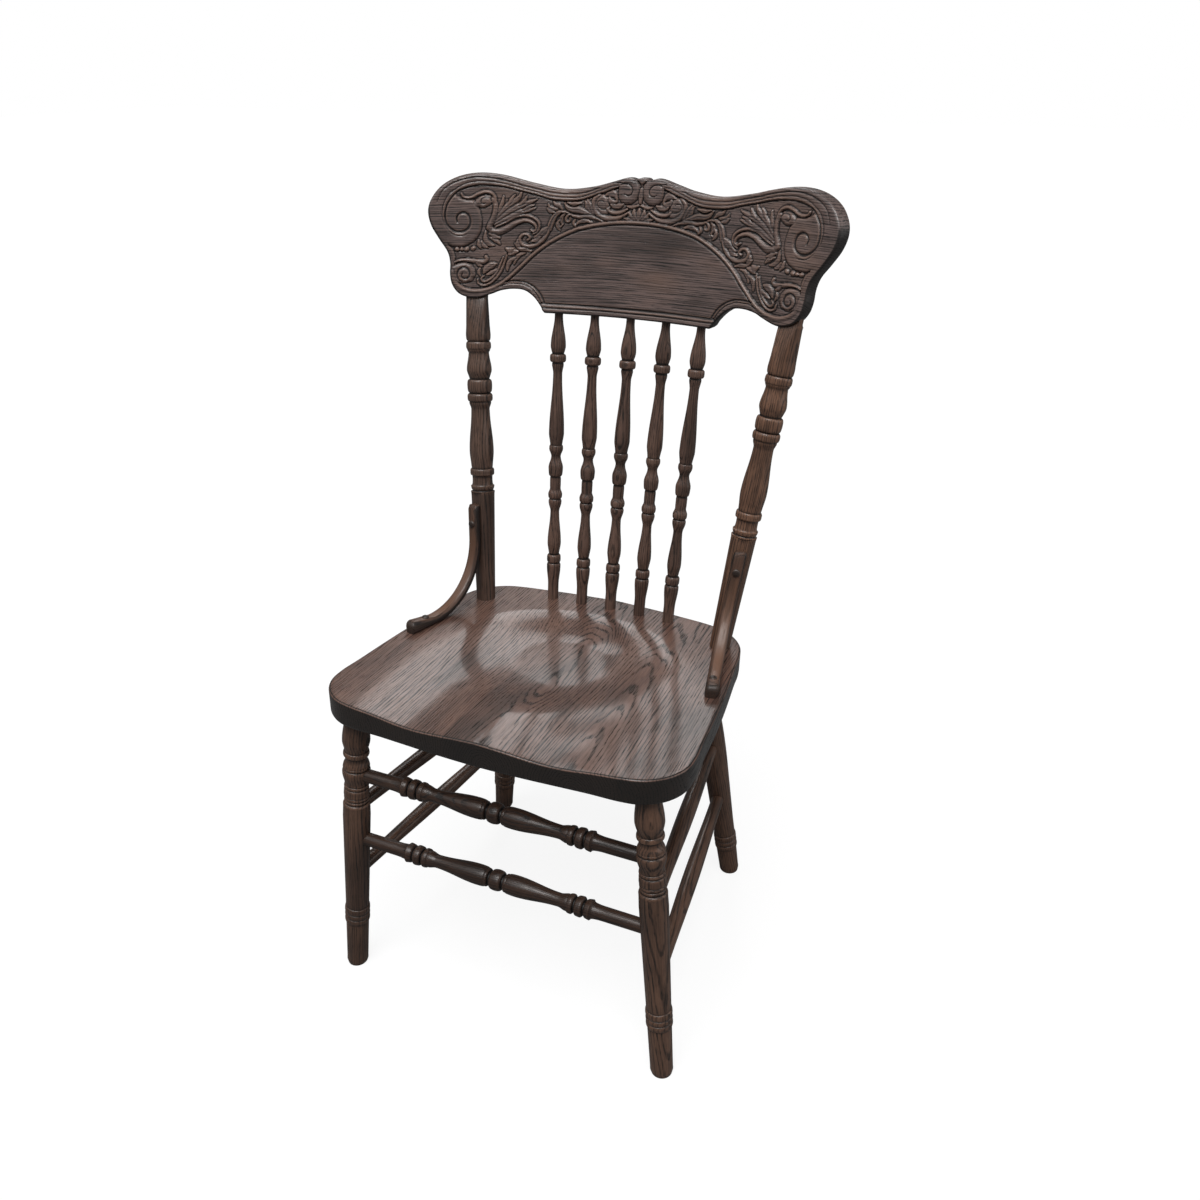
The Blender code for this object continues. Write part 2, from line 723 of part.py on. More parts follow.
def build_stretchers():
    """Make the turned front rails and the plain side and rear rails."""
    for level, height in FRONT_STRETCHER_HEIGHTS.items():
        build_stretcher(f"front_stretcher_{level}", LEGS["front_leg_left"], height,
                        LEGS["front_leg_right"], height, FRONT_STRETCHER_RADIUS,
                        FRONT_STRETCHER_TURNING, STRETCHER_MIDDLE_RADIUS)
    rails = []
    for label, (front, rear) in SIDE_STRETCHER_HEIGHTS.items():
        hand = label.split("_")[0]
        rails.append((f"side_stretcher_{label}", LEGS[f"front_leg_{hand}"], front,
                      LEGS[f"rear_leg_{hand}"], rear))
    rails.append(("rear_stretcher", LEGS["rear_leg_left"], REAR_STRETCHER_HEIGHT,
                  LEGS["rear_leg_right"], REAR_STRETCHER_HEIGHT))
    for rail in rails:
        build_stretcher(*rail, PLAIN_STRETCHER_RADIUS, plain_rail_turning(*rail[1:]),
                        PLAIN_STRETCHER_SWELL)


def build_posts():
    """Make the two back posts with their flats, tenons and screw holes."""
    for hand, post in POSTS.items():
        name = f"back_post_{hand}"
        block = [(0.0, POST_BASE_RADIUS), (POST_BLOCK_LENGTH, POST_BLOCK_RADIUS)]
        upper = [(POST_BLOCK_LENGTH + far, radius)
                 for far, radius in trace(POST_BLOCK_RADIUS, POST_TURNING)]
        shoulder = [(post.length, POST_TOP_RADIUS), (post.length, POST_TENON_RADIUS)]
        tenon = [(post.length + CREST_GRIP, POST_TENON_RADIUS)]
        base = [(-SEAT_GRIP, POST_BASE_RADIUS)]
        outline = (base + block + upper[1:] + shoulder + tenon)[::-1]
        part = turned(name, outline, POST_SIDES, TURNED_OAK, frame_along(post.foot, post.axis))
        cut_flat(part, f"{name}_brace_flat", post.foot + post.outward * BRACE_FLAT,
                 post.outward, post.axis, POST_BLOCK_LENGTH - FIT)
        facing = (Vector((0.0, -1.0, 0.0)) + post.axis * post.axis.y).normalized()
        for sense, pare in ((1.0, POST_FRONT_PARE), (-1.0, POST_BACK_PARE)):
            normal = (facing * sense * math.cos(POST_PARE_SLOPE)
                      + post.axis * math.sin(POST_PARE_SLOPE))
            start = post.shoulder + facing * sense * pare
            cut_flat(part, f"{name}_pare_{'front' if sense > 0 else 'back'}", start,
                     normal, -post.axis, 2.0 * SPARE + POST_TOP_RADIUS)
        cut_sockets(part, post.sockets)
        SEAT_SOCKETS.append((post.foot, -post.axis, SEAT_GRIP + FIT, POST_BASE_RADIUS + FIT))
        CREST_SOCKETS.append((post.shoulder, post.axis, CREST_GRIP + FIT,
                              POST_TENON_RADIUS + FIT))
        CREST_SOCKETS.append((post.shoulder, post.axis, FIT, POST_BLOCK_RADIUS + FIT))


def build_spindles():
    """Make the row of turned spindles between the seat and the crest."""
    for number in range(SPINDLE_COUNT):
        place = number - (SPINDLE_COUNT - 1) / 2.0
        row_y = SEAT_ROW_Y + SPINDLE_ROW_SET - SPINDLE_ROW_BOW * place * place
        foot = on_plane(place * SPINDLE_SEAT_SPACING, row_y, SEAT_ORIGIN)
        head = crest_point(place * SPINDLE_CREST_SPACING + SPINDLE_CREST_SHIFT, TAB_BOTTOM,
                           SPINDLE_CREST_DEPTH)
        axis = (head - foot).normalized()
        length = (head - foot).length
        outline = ([(-SPINDLE_GRIP, SPINDLE_BASE_RADIUS)]
                   + trace(SPINDLE_BASE_RADIUS, SPINDLE_TURNING)
                   + [(length + SPINDLE_GRIP, SPINDLE_TOP_RADIUS)])
        turned(f"spindle_{number + 1}", outline[::-1], SPINDLE_SIDES, TURNED_OAK,
               frame_along(foot, axis))
        SEAT_SOCKETS.append((foot, -axis, SPINDLE_GRIP + FIT, SPINDLE_BASE_RADIUS + FIT))
        CREST_SOCKETS.append((head, axis, SPINDLE_GRIP + FIT, SPINDLE_TOP_RADIUS + FIT))


def brace_outline(post, reach):
    """Give the brace's outline in its plane: X away from the post, Y up its axis."""
    inner = BRACE_FLAT + FIT
    rise = Vector((-math.sin(post.drop), math.cos(post.drop)))
    run = Vector((math.cos(post.drop), math.sin(post.drop)))
    middle_x = inner + BRACE_THICKNESS / 2.0 + BRACE_BEND
    level = FIT + BRACE_THICKNESS / 2.0 + BRACE_BEND
    centre = Vector((middle_x, (level - middle_x * rise.x) / rise.y))
    sweep = math.pi / 2.0 + post.drop
    turns = [math.pi + sweep * step / BRACE_BEND_STEPS for step in range(BRACE_BEND_STEPS + 1)]

    def arc(radius):
        return [centre + Vector((math.cos(turn), math.sin(turn))) * radius for turn in turns]

    under = arc(BRACE_BEND + BRACE_THICKNESS / 2.0)
    over = arc(BRACE_BEND - BRACE_THICKNESS / 2.0)
    tip = run * reach + rise * FIT
    tip_over = tip + rise * BRACE_THICKNESS
    nose_run = run * BRACE_NOSE
    nose_rise = rise * BRACE_NOSE
    front = [tip - nose_run, tip + nose_rise, tip_over - nose_rise, tip_over - nose_run]
    top = [
        Vector((inner + BRACE_THICKNESS, BRACE_TOP - BRACE_CHAMFER)),
        Vector((inner + BRACE_TOP_FLAT, BRACE_TOP)),
        Vector((inner, BRACE_TOP)),
    ]
    return under + front + over[::-1] + top


def screw_and_plug(label, face, inward):
    """Make a brace screw and its plug on a face point, and give the brace's sockets."""
    place = frame_along(face, inward)
    head = PLUG_HOLE_DEPTH - SCREW_HEAD_HEIGHT
    point = BRACE_THICKNESS + FIT + SCREW_BITE
    screw = [(point, SCREW_SHANK_RADIUS), (PLUG_HOLE_DEPTH, SCREW_SHANK_RADIUS),
             (PLUG_HOLE_DEPTH, SCREW_HEAD_RADIUS), (head, SCREW_HEAD_RADIUS)]
    turned(f"brace_screw_{label}", screw, FASTENER_SIDES, SCREW_STEEL, place)
    dome = [(-FIT - far, radius) for far, radius
            in trace(PLUG_HEAD_RADIUS, ((BULGE, PLUG_HEAD_HEIGHT, PLUG_HEAD_RADIUS / 4.0),))]
    plug = [(head - FIT, PLUG_RADIUS), (-FIT, PLUG_RADIUS)] + dome
    turned(f"brace_plug_{label}", plug, FASTENER_SIDES, PLUG_OAK, place)
    return [
        (face, inward, 0.0, PLUG_HEAD_RADIUS + FIT),
        (face, inward, PLUG_HOLE_DEPTH + FIT, PLUG_RADIUS + FIT),
        (face, inward, BRACE_THICKNESS + SPARE, SCREW_SHANK_RADIUS + FIT),
    ]


def build_braces():
    """Make the two hip braces, their screws and their plugs."""
    for hand, post in POSTS.items():
        outline = brace_outline(post, BRACE_REACHES[hand])
        mesh = flat_solid(f"hip_brace_{hand}", outline, BRACE_WIDTH / 2.0, BRACE_ROUND, 0)
        across = post.outward.cross(post.axis)
        turn = Matrix((post.outward, post.axis, across)).transposed().to_4x4()
        # The bar's width runs along both the post's flat and the seat's plane
        width = post.outward.cross(SEAT_UP).normalized()
        skew = Matrix((Vector((1.0, 0.0, 0.0)), Vector((0.0, 1.0, 0.0)),
                       turn.to_3x3().transposed() @ width)).transposed()
        mesh.transform(skew.to_4x4())
        brace = add_part(f"hip_brace_{hand}", mesh, BRACE_OAK, Matrix.Translation(post.foot) @ turn)
        upper_face = (post.foot + post.axis * BRACE_SCREW_HEIGHT
                      + post.outward * (BRACE_FLAT + FIT + BRACE_THICKNESS))
        lower_face = (post.foot + post.run * BRACE_SCREW_REACHES[hand]
                      + SEAT_UP * (FIT + BRACE_THICKNESS))
        bite = BRACE_THICKNESS + FIT + SCREW_BITE + FIT
        sockets = screw_and_plug(f"{hand}_upper", upper_face, -post.outward)
        sockets += screw_and_plug(f"{hand}_lower", lower_face, -SEAT_UP)
        cut_sockets(brace, sockets)
        post.sockets.append((upper_face, -post.outward, bite, SCREW_SHANK_RADIUS + FIT))
        SEAT_SOCKETS.append((lower_face, -SEAT_UP, bite, SCREW_SHANK_RADIUS + FIT))


def seat_loop():
    """Give the seat's closed outline in the plank's plane."""
    front = (SEAT_FRONT_WIDTH / 2.0, -SEAT_FRONT)
    back = (SEAT_BACK_WIDTH / 2.0, SEAT_BACK)
    side = Vector(((front[0] + back[0]) / 2.0 + SEAT_SIDE_BOW, (front[1] + back[1]) / 2.0))
    front_middle = (0.0, -SEAT_FRONT - SEAT_FRONT_BOW)
    back_middle = (0.0, SEAT_BACK + SEAT_BACK_BOW)
    half = [Vector(front_middle)]
    half += fillet((0.0, -SEAT_FRONT), front, back, SEAT_FRONT_CORNER)
    half += [side]
    half += fillet(front, back, back_middle, SEAT_BACK_CORNER)
    half += [Vector(back_middle)]
    return mirrored_loop(smooth_run(half))


def rounded(value):
    """Give a smooth step from 0 to 1 over the same range."""
    held = min(max(value, 0.0), 1.0)
    return held * held * (3.0 - 2.0 * held)


def saddle_depth(x, y):
    """Give the depth of the hollowed seat top under its rim plane."""
    reach = math.hypot(x / BOWL_HALF_WIDTH, (y - BOWL_Y) / BOWL_HALF_LENGTH)
    bowl = BOWL_DEPTH * rounded(BOWL_STEEPNESS * (1.0 - reach))
    across = (abs(x) - THIGH_X) / THIGH_HALF_WIDTH
    forward = rounded(THIGH_STEEPNESS * (THIGH_START_Y - y) / (SEAT_FRONT + THIGH_START_Y))
    thigh = THIGH_DEPTH * math.exp(-THIGH_SPREAD * across * across) * forward
    return math.hypot(bowl, thigh)


def build_seat():
    """Make the plank seat: outline, hollowed top, tilted place and sockets."""
    placing = Matrix.Translation(SEAT_ORIGIN) @ SEAT_TURN
    half_height = (SEAT_THICKNESS + SPARE) / 2.0
    mesh = flat_solid("seat", seat_loop(), half_height, SEAT_EDGE_ROUND, 1)
    mesh.transform(Matrix.Translation((SEAT_SHIFT, 0.0, half_height - SEAT_THICKNESS)))
    seat = add_part("seat", mesh, SEAT_OAK, placing)
    shape = bmesh.new()
    half = max(SEAT_FRONT_WIDTH, SEAT_FRONT + SEAT_BACK) / 2.0 + SPARE
    bmesh.ops.create_grid(shape, x_segments=SEAT_CELLS, y_segments=SEAT_CELLS, size=half)
    bmesh.ops.translate(shape, vec=(0.0, (SEAT_BACK - SEAT_FRONT) / 2.0, 0.0), verts=shape.verts)
    top = list(shape.verts)
    sheet = bmesh.ops.extrude_face_region(shape, geom=list(shape.faces), use_keep_orig=True)
    under = [item for item in sheet["geom"] if isinstance(item, bmesh.types.BMVert)]
    for corner in top:
        corner.co.z = -saddle_depth(corner.co.x, corner.co.y)
    for corner in under:
        corner.co.z = -SEAT_THICKNESS - SPARE
    bmesh.ops.recalc_face_normals(shape, faces=shape.faces)
    saddle = bpy.data.meshes.new("seat_saddle")
    shape.to_mesh(saddle)
    shape.free()
    combine(seat, add_cutter("seat_saddle", saddle, placing), "INTERSECT")
    cut_sockets(seat, SEAT_SOCKETS)


def spiral(eye, start_radius, end_radius, start_turn, turns):
    """Give points that wind in or out round an eye, in crest coordinates."""
    points = []
    count = round(abs(turns) * SCROLL_POINTS)
    for step in range(count + 1):
        part = step / count
        radius = start_radius + (end_radius - start_radius) * part
        turn = start_turn + turns * 2.0 * math.pi * part
        points.append(Vector((eye[0] + radius * math.cos(turn), eye[1] + radius * math.sin(turn))))
    return points


def scroll_paths():
    """Give the raised scroll lines of the crest's right half."""
    rim = spiral(*MIDDLE_SCROLL) + smooth_run(RIM_PATH)[1:] + spiral(*EAR_SCROLL)
    return {"rim": rim, "lobe": spiral(*LOBE_SCROLL)}


def bent_tube(name, path, radius):
    """Make a raised bar on the crest's face and hide it among the cutters."""
    points = [crest_point(point.x, point.y, 0.0) for point in path]
    return add_cutter(name, tube(name, points, [radius] * len(points)))


def build_crest():
    """Make the bent crest rail with its raised lines and sockets."""
    half = smooth_run(CREST_OUTLINE)
    half += [Vector((TAB_HALF_WIDTH, TAB_BOTTOM)), Vector((0.0, TAB_BOTTOM))]
    mesh = flat_solid("crest_rail", mirrored_loop(half), CREST_THICKNESS / 2.0, CREST_CHAMFER, 0)
    shape = bmesh.new()
    shape.from_mesh(mesh)
    reach = max(point[0] for point in CREST_OUTLINE)
    for cut in range(1, CREST_CUTS):
        place = reach * (2.0 * cut / CREST_CUTS - 1.0)
        geometry = list(shape.verts) + list(shape.edges) + list(shape.faces)
        bmesh.ops.bisect_plane(shape, geom=geometry, plane_co=(place, 0.0, 0.0),
                               plane_no=(1.0, 0.0, 0.0), dist=0.000001)
    for face_z in (CREST_THICKNESS / 2.0, -CREST_THICKNESS / 2.0):
        flat = [face for face in shape.faces
                if all(abs(corner.co.z - face_z) < FIT for corner in face.verts)]
        strips = {}
        for face in flat:
            place = int((face.calc_center_median().x / reach + 1.0) * CREST_CUTS / 2.0)
            strips.setdefault(place, []).append(face)
        for faces in strips.values():
            bmesh.ops.dissolve_faces(shape, faces=faces)
    spare = [corner for corner in shape.verts if len(corner.link_edges) == 2]
    bmesh.ops.dissolve_verts(shape, verts=spare)
    bmesh.ops.triangulate(shape, faces=shape.faces)
    for corner in shape.verts:
        behind = CREST_THICKNESS / 2.0 - corner.co.z
        corner.co = crest_point(corner.co.x, corner.co.y, behind)
    shape.to_mesh(mesh)
    shape.free()
    crest = add_part("crest_rail", mesh, CREST_OAK)
    arch = smooth_run(ARCH_PATH)
    arch = [Vector((-point.x, point.y)) for point in arch[:0:-1]] + arch
    combine(crest, bent_tube("crest_arch_bead", arch, BEAD_RADIUS), "UNION")
    for name, path in scroll_paths().items():
        for hand, side in SIDES.items():
            mirrored = [Vector((side * point.x, point.y)) for point in path]
            combine(crest, bent_tube(f"crest_{name}_{hand}", mirrored, SCROLL_RADIUS), "UNION")
    cut_sockets(crest, CREST_SOCKETS)


def centre_over_origin():
    """Move the root so that the origin lies under the middle of the chair's box."""
    graph = bpy.context.evaluated_depsgraph_get()
    low, high = math.inf, -math.inf
    for part in PARTS.objects:
        if part.type != "MESH":
            continue
        solid = part.evaluated_get(graph)
        depths = [(part.matrix_world @ corner.co).y for corner in solid.data.vertices]
        low, high = min(low, *depths), max(high, *depths)
    ROOT.location.y = -(low + high) / 2.0


def main():
    """Build the chair, pieces that carry sockets after the pieces that fill them."""
    build_stretchers()
    build_legs()
    build_spindles()
    build_braces()
    build_posts()
    build_seat()
    build_crest()
    centre_over_origin()


main()
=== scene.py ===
"""Looks of a pressed back side chair in dark stained oak.

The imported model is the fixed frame. Each wooden piece is turned, bent or pressed again here on
the same sizes with a finer mesh, and dressed in a stained oak made of nodes. Units are metres,
+Z is up, the chair faces -Y and +X is to the right of someone who looks at its front.
"""

import logging
import math
from collections.abc import Sequence
from dataclasses import dataclass, field
from enum import Enum
from typing import Any

import bmesh
import bpy
import numpy as np
from mathutils import Euler, Matrix, Vector


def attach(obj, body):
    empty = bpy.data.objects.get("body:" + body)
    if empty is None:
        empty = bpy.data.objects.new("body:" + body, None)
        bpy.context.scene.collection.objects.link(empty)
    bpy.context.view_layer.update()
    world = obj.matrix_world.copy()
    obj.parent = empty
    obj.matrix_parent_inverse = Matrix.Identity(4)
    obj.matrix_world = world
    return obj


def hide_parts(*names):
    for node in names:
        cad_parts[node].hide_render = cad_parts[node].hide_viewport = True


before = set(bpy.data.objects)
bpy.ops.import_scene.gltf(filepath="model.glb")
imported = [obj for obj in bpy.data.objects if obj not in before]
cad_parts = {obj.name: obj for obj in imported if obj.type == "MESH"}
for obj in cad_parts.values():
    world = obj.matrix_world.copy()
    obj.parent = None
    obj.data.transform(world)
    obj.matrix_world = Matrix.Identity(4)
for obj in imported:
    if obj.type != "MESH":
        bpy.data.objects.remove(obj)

LOG = logging.getLogger("pressed_back_chair")
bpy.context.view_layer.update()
BODY = "root"
GRAIN = "grain_place"        # where a point lies in its own stick of wood, Z along the grain
WEAR_AND_PAINTED_LIGHT = "wear"                # below 0 in hollows that hold stain and lie in shade, and where painted shade is laid on edges and sides; above 0 on rubbed edges and painted glints
MM = 0.001
FRAME_SHIFT = Vector((0.0, -0.060471, 0.0))    # from the layout below to the chair's own origin

Colour = tuple[float, float, float]
Pair = tuple[float, float]
Outline = list[Pair]
Solid = bmesh.types.BMesh
Corners = list[bmesh.types.BMVert]
Edges = list[bmesh.types.BMEdge]
Socket = bpy.types.NodeSocket


class Hand(Enum):
    """Side of the chair, as someone who looks at its front sees it."""

    LEFT = "left"
    RIGHT = "right"

    @property
    def sign(self) -> float:
        """Sign of X on this side."""
        return -1.0 if self is Hand.LEFT else 1.0


class Cut(Enum):
    """How a turned outline runs from one radius to the next."""

    LINE = 1
    EASE = 12
    BULGE = 8
    HOLLOW = 7

    @property
    def steps(self) -> int:
        """Straight steps that make up one such move."""
        return self.value

    def share(self, part: float, rising: bool) -> Pair:
        """Follow the move for a part of its parameter.

        Args:
            part: How far along the move, from 0 to 1.
            rising: Whether the radius grows.

        Returns:
            The shares of the length and of the radius change that are done.
        """
        if self is Cut.LINE:
            return part, part
        if self is Cut.EASE:
            return part, (1.0 - math.cos(math.pi * part)) / 2.0
        turn = part * math.pi / 2.0
        if (self is Cut.BULGE) == rising:
            return 1.0 - math.cos(turn), math.sin(turn)
        return math.sin(turn), 1.0 - math.cos(turn)


Moves = tuple[tuple[Cut, float, float], ...]
L, E, B, H = Cut.LINE, Cut.EASE, Cut.BULGE, Cut.HOLLOW


def trace(radius: float, moves: Moves) -> Outline:
    """Follow the moves of a turned outline.

    Args:
        radius: Radius where the outline starts, in metres.
        moves: Kind, length and last radius of each move, in millimetres.

    Returns:
        Points of distance and radius in metres.
    """
    points = [(0.0, radius)]
    start = 0.0
    for cut, run, size in moves:
        length, last = run * MM, size * MM
        for step in range(1, cut.steps + 1):
            far, change = cut.share(step / cut.steps, last > radius)
            points.append((start + length * far, radius + (last - radius) * change))
        start += length
        radius = last
    return points


class Graph:
    """Adds and joins the nodes of one material or world."""

    def __init__(self, tree: bpy.types.NodeTree) -> None:
        """Start from an empty node tree."""
        self.tree = tree
        tree.nodes.clear()

    def add(self, kind: str, inputs: dict[Any, Any] | None = None, **settings: Any) -> bpy.types.Node:
        """Add a node.

        Args:
            kind: Type name of the node.
            inputs: Values or sockets for its inputs, by name or number.
            **settings: Properties of the node itself.

        Returns:
            The new node.
        """
        node = self.tree.nodes.new(kind)
        for key, value in settings.items():
            setattr(node, key, value)
        for key, value in (inputs or {}).items():
            if isinstance(value, Socket):
                self.tree.links.new(value, node.inputs[key])
            else:
                node.inputs[key].default_value = value
        return node

    def math(self, operation: str, first: Any, second: Any = 0.0) -> Socket:
        """Join two numbers with an operation and give the result's socket."""
        return self.add("ShaderNodeMath", {0: first, 1: second}, operation=operation).outputs[0]

    def plus(self, total: Any, value: Any, share: float) -> Socket:
        """Add a share of a number to a total."""
        return self.math("ADD", total, self.math("MULTIPLY", value, share))

    def vector(self, operation: str, first: Any, second: Any) -> Socket:
        """Join two vectors with an operation and give the result's socket."""
        return self.add("ShaderNodeVectorMath", {0: first, 1: second}, operation=operation).outputs[0]

    def drawn(self, place: Any, share: float) -> Socket:
        """Draw a texture out along the grain by taking only a share of Z."""
        return self.vector("MULTIPLY", place, (1.0, 1.0, share))

    def noise(self, place: Any, scale: float, detail: float = 2.0, roughness: float = 0.5) -> bpy.types.Node:
        """Add a noise texture at a place."""
        return self.add("ShaderNodeTexNoise", {"Vector": place, "Scale": scale, "Detail": detail,
                                               "Roughness": roughness})

    def step(self, value: Any, low: float, high: float, first: float = 0.0,
             last: float = 1.0) -> Socket:
        """Turn a range of a number into another range with a smooth step."""
        node = self.add("ShaderNodeMapRange", {"Value": value, "From Min": low, "From Max": high,
                                               "To Min": first, "To Max": last},
                        interpolation_type="SMOOTHSTEP")
        return node.outputs[0]

    def blend(self, share: Any, first: Any, second: Any) -> Socket:
        """Mix two colours by a share of the second."""
        first = (*first, 1.0) if isinstance(first, tuple) else first
        second = (*second, 1.0) if isinstance(second, tuple) else second
        node = self.add("ShaderNodeMix", {0: share, 6: first, 7: second}, data_type="RGBA")
        return node.outputs[2]


def new_material(name: str) -> tuple[bpy.types.Material, Graph]:
    """Start a material with an empty node tree."""
    material = bpy.data.materials.new(name)
    material.use_nodes = True
    return material, Graph(material.node_tree)


def put_in(name: str, data: bpy.types.ID) -> bpy.types.Object:
    """Put a new object in the scene."""
    thing = bpy.data.objects.new(name, data)
    bpy.context.scene.collection.objects.link(thing)
    return thing


@dataclass(frozen=True)
class StainedOak:
    """Dark stain and semi-gloss lacquer on oak, with rings, pores and stain held in hollows, and the painted
    shade and painted glints that the wear brings.
    """

    name: str
    slot: str
    pale: Colour                 # dense late wood
    deep: Colour                 # porous early wood
    pore_and_shade: Colour                 # pores, hollows full of stain, and painted shade
    rubbed_and_glint: Colour               # edges where the stain is thin, and painted glints
    roughness: float = 0.34
    coat: float = 0.22
    coat_roughness: float = 0.16
    ring: float = 0.0030           # width of a year ring
    pith: Pair = (0.026, 0.010)    # the tree's middle, seen from the stick's axis
    lean: float = 0.05             # slant of the stick to the tree's axis
    sway: float = 0.012            # slow wander of the rings
    jag: float = 0.0016            # quick wander of the rings
    line: float = 0.34             # share of a ring that is early wood
    board: float = 0.0             # width of the glued boards, 0 where the piece is one stick
    first_board: float = 0.0       # edge of the first of two boards sawn flat, beside straight ones
    sawn_off: float = 0.11         # how far from the pith the straight boards were sawn
    relief: float = 0.35           # strength of the grain's own bumps
    relief_depth: float = 0.0004
    pores: Pair = (820.0, 0.055)   # fineness of the pores across the grain, and their share of it along
    shine: float = 0.5             # mirror level of the lacquer
    dull: float = 0.22             # how much rougher the pores are

    def ring_phase(self, graph: Graph, place: Any) -> Socket:
        """Find where a point lies between two year rings.

        Args:
            graph: Node tree that is built.
            place: Socket of the grain coordinates.

        Returns:
            Socket with the phase from 0 to 1.
        """
        sway = graph.noise(graph.drawn(place, 0.16), 24.0, 2.0, 0.45).outputs["Color"]
        sway = graph.vector("SUBTRACT", sway, (0.5, 0.5, 0.5))
        sway = graph.vector("MULTIPLY", sway, (self.sway, self.sway, 0.0))
        parts = graph.add("ShaderNodeSeparateXYZ", {0: graph.vector("ADD", place, sway)}).outputs
        slanted = graph.plus(parts[1], parts[2], self.lean)
        across = graph.add("ShaderNodeCombineXYZ", {0: parts[0], 1: slanted}).outputs[0]
        reach = graph.add("ShaderNodeVectorMath", {0: across, 1: (*self.pith, 0.0)}, operation="DISTANCE")
        jag = graph.noise(graph.drawn(place, 0.22), 150.0, 2.0, 0.6).outputs["Fac"]
        years = graph.math("DIVIDE", graph.plus(reach.outputs["Value"], jag, self.jag), self.ring)
        good = graph.add("ShaderNodeTexNoise", {"W": years, "Scale": 0.45, "Detail": 1.0},
                         noise_dimensions="1D")
        return graph.math("FRACT", graph.plus(years, good.outputs["Fac"], 1.1))

    def boarded(self, graph: Graph, place: Any) -> tuple[Any, Any]:
        """Shift the grain from board to board of a glued plank.

        Args:
            graph: Node tree that is built.
            place: Socket of the grain coordinates.

        Returns:
            The shifted coordinates and a number for each board's tone.
        """
        width = graph.add("ShaderNodeSeparateXYZ", {0: place}).outputs[0]
        count = graph.math("DIVIDE", graph.math("SUBTRACT", width, self.first_board), self.board)
        number = graph.math("FLOOR", count)
        chance = graph.add("ShaderNodeTexWhiteNoise", {"W": number}, noise_dimensions="1D")
        from_flat = graph.math("ABSOLUTE", graph.math("SUBTRACT", number, 0.5))
        straight = graph.math("GREATER_THAN", from_flat, 0.6)
        middle = graph.math("MULTIPLY", graph.math("ADD", number, 0.5), self.board)
        aside = graph.math("SUBTRACT", graph.math("MULTIPLY", straight, self.sawn_off), middle)
        aside = graph.math("SUBTRACT", aside, self.first_board)
        shift = graph.vector("MULTIPLY", chance.outputs["Color"], (0.0, 0.006, 0.3))
        shift = graph.vector("ADD", shift, graph.add("ShaderNodeCombineXYZ", {0: aside}).outputs[0])
        return graph.vector("ADD", place, shift), chance.outputs["Value"]

    def figure(self, graph: Graph, place: Any) -> tuple[Any, Any, Any]:
        """Draw the wood's figure.

        Args:
            graph: Node tree that is built.
            place: Socket of the grain coordinates.

        Returns:
            Sockets with the early wood, the pores and the fibres.
        """
        phase = self.ring_phase(graph, place)
        rising, falling = graph.step(phase, 0.92, 1.0), graph.step(phase, self.line, self.line * 0.5)
        early = graph.math("MAXIMUM", falling, rising)
        dashes = graph.noise(graph.drawn(place, self.pores[1]), self.pores[0], 2.0, 0.6).outputs["Fac"]
        in_early = graph.step(early, 0.0, 1.0, 0.30, 1.0)
        pores = graph.math("MULTIPLY", graph.step(dashes, 0.50, 0.60), in_early)
        fibre = graph.noise(graph.drawn(place, 0.055), 300.0, 3.0, 0.6).outputs["Fac"]
        early = graph.math("MULTIPLY", early, graph.step(fibre, 0.30, 0.58, 0.25, 1.0))
        return early, pores, fibre

    def material(self) -> bpy.types.Material:
        """Build the finish once and give its material."""
        known = bpy.data.materials.get(self.name)
        if known:
            return known
        material, graph = new_material(self.name)
        place = graph.add("ShaderNodeAttribute", attribute_name=GRAIN).outputs["Vector"]
        wear = graph.add("ShaderNodeAttribute", attribute_name=WEAR_AND_PAINTED_LIGHT).outputs["Fac"]
        place, tone = self.boarded(graph, place) if self.board else (place, 0.5)
        early, pores, fibre = self.figure(graph, place)
        cloud = graph.noise(graph.drawn(place, 0.4), 16.0, 2.0).outputs["Fac"]
        patch = graph.math("ADD", cloud, graph.math("MULTIPLY", tone, 0.16))
        # Below 0 the wear mixes in stain in hollows and painted shade, above 0 rubbed edges and painted
        # glints.
        hollow_and_shade, rub = graph.step(wear, -0.02, -0.65), graph.step(wear, 0.05, 0.90)
        colour = self.pale
        for share, over in (
                (graph.math("MULTIPLY", early, 0.90), self.deep),
                (graph.step(fibre, 0.40, 0.72, 0.0, 0.50), self.deep),
                (graph.step(patch, 0.54, 0.80, 0.0, 0.60), self.deep),
                (graph.step(patch, 0.58, 0.36, 0.0, 0.35), self.rubbed_and_glint),
                (graph.math("MULTIPLY", pores, 0.85), self.pore_and_shade),
                (graph.math("MULTIPLY", hollow_and_shade, 0.92), self.pore_and_shade),
                (graph.math("MULTIPLY", rub, 0.60), self.rubbed_and_glint)):
            colour = graph.blend(share, colour, over)
        rough: Any = self.roughness - 0.05
        for cause, share in ((pores, self.dull), (early, 0.4 * self.dull), (fibre, 0.10), (hollow_and_shade, 0.15)):
            rough = graph.plus(rough, cause, share)
        height = graph.plus(graph.plus(graph.math("MULTIPLY", pores, -1.0), early, -0.35), fibre, 0.30)
        bump = graph.add("ShaderNodeBump", {
            "Height": height, "Strength": self.relief, "Distance": self.relief_depth})
        shader = graph.add("ShaderNodeBsdfPrincipled", {
            "Base Color": colour, "Roughness": rough, "Normal": bump.outputs[0], "IOR": 1.50,
            "Specular IOR Level": self.shine, "Coat Weight": self.coat,
            "Coat Roughness": self.coat_roughness, "Coat IOR": 1.48})
        graph.add("ShaderNodeOutputMaterial", {"Surface": shader.outputs[0]})
        return material


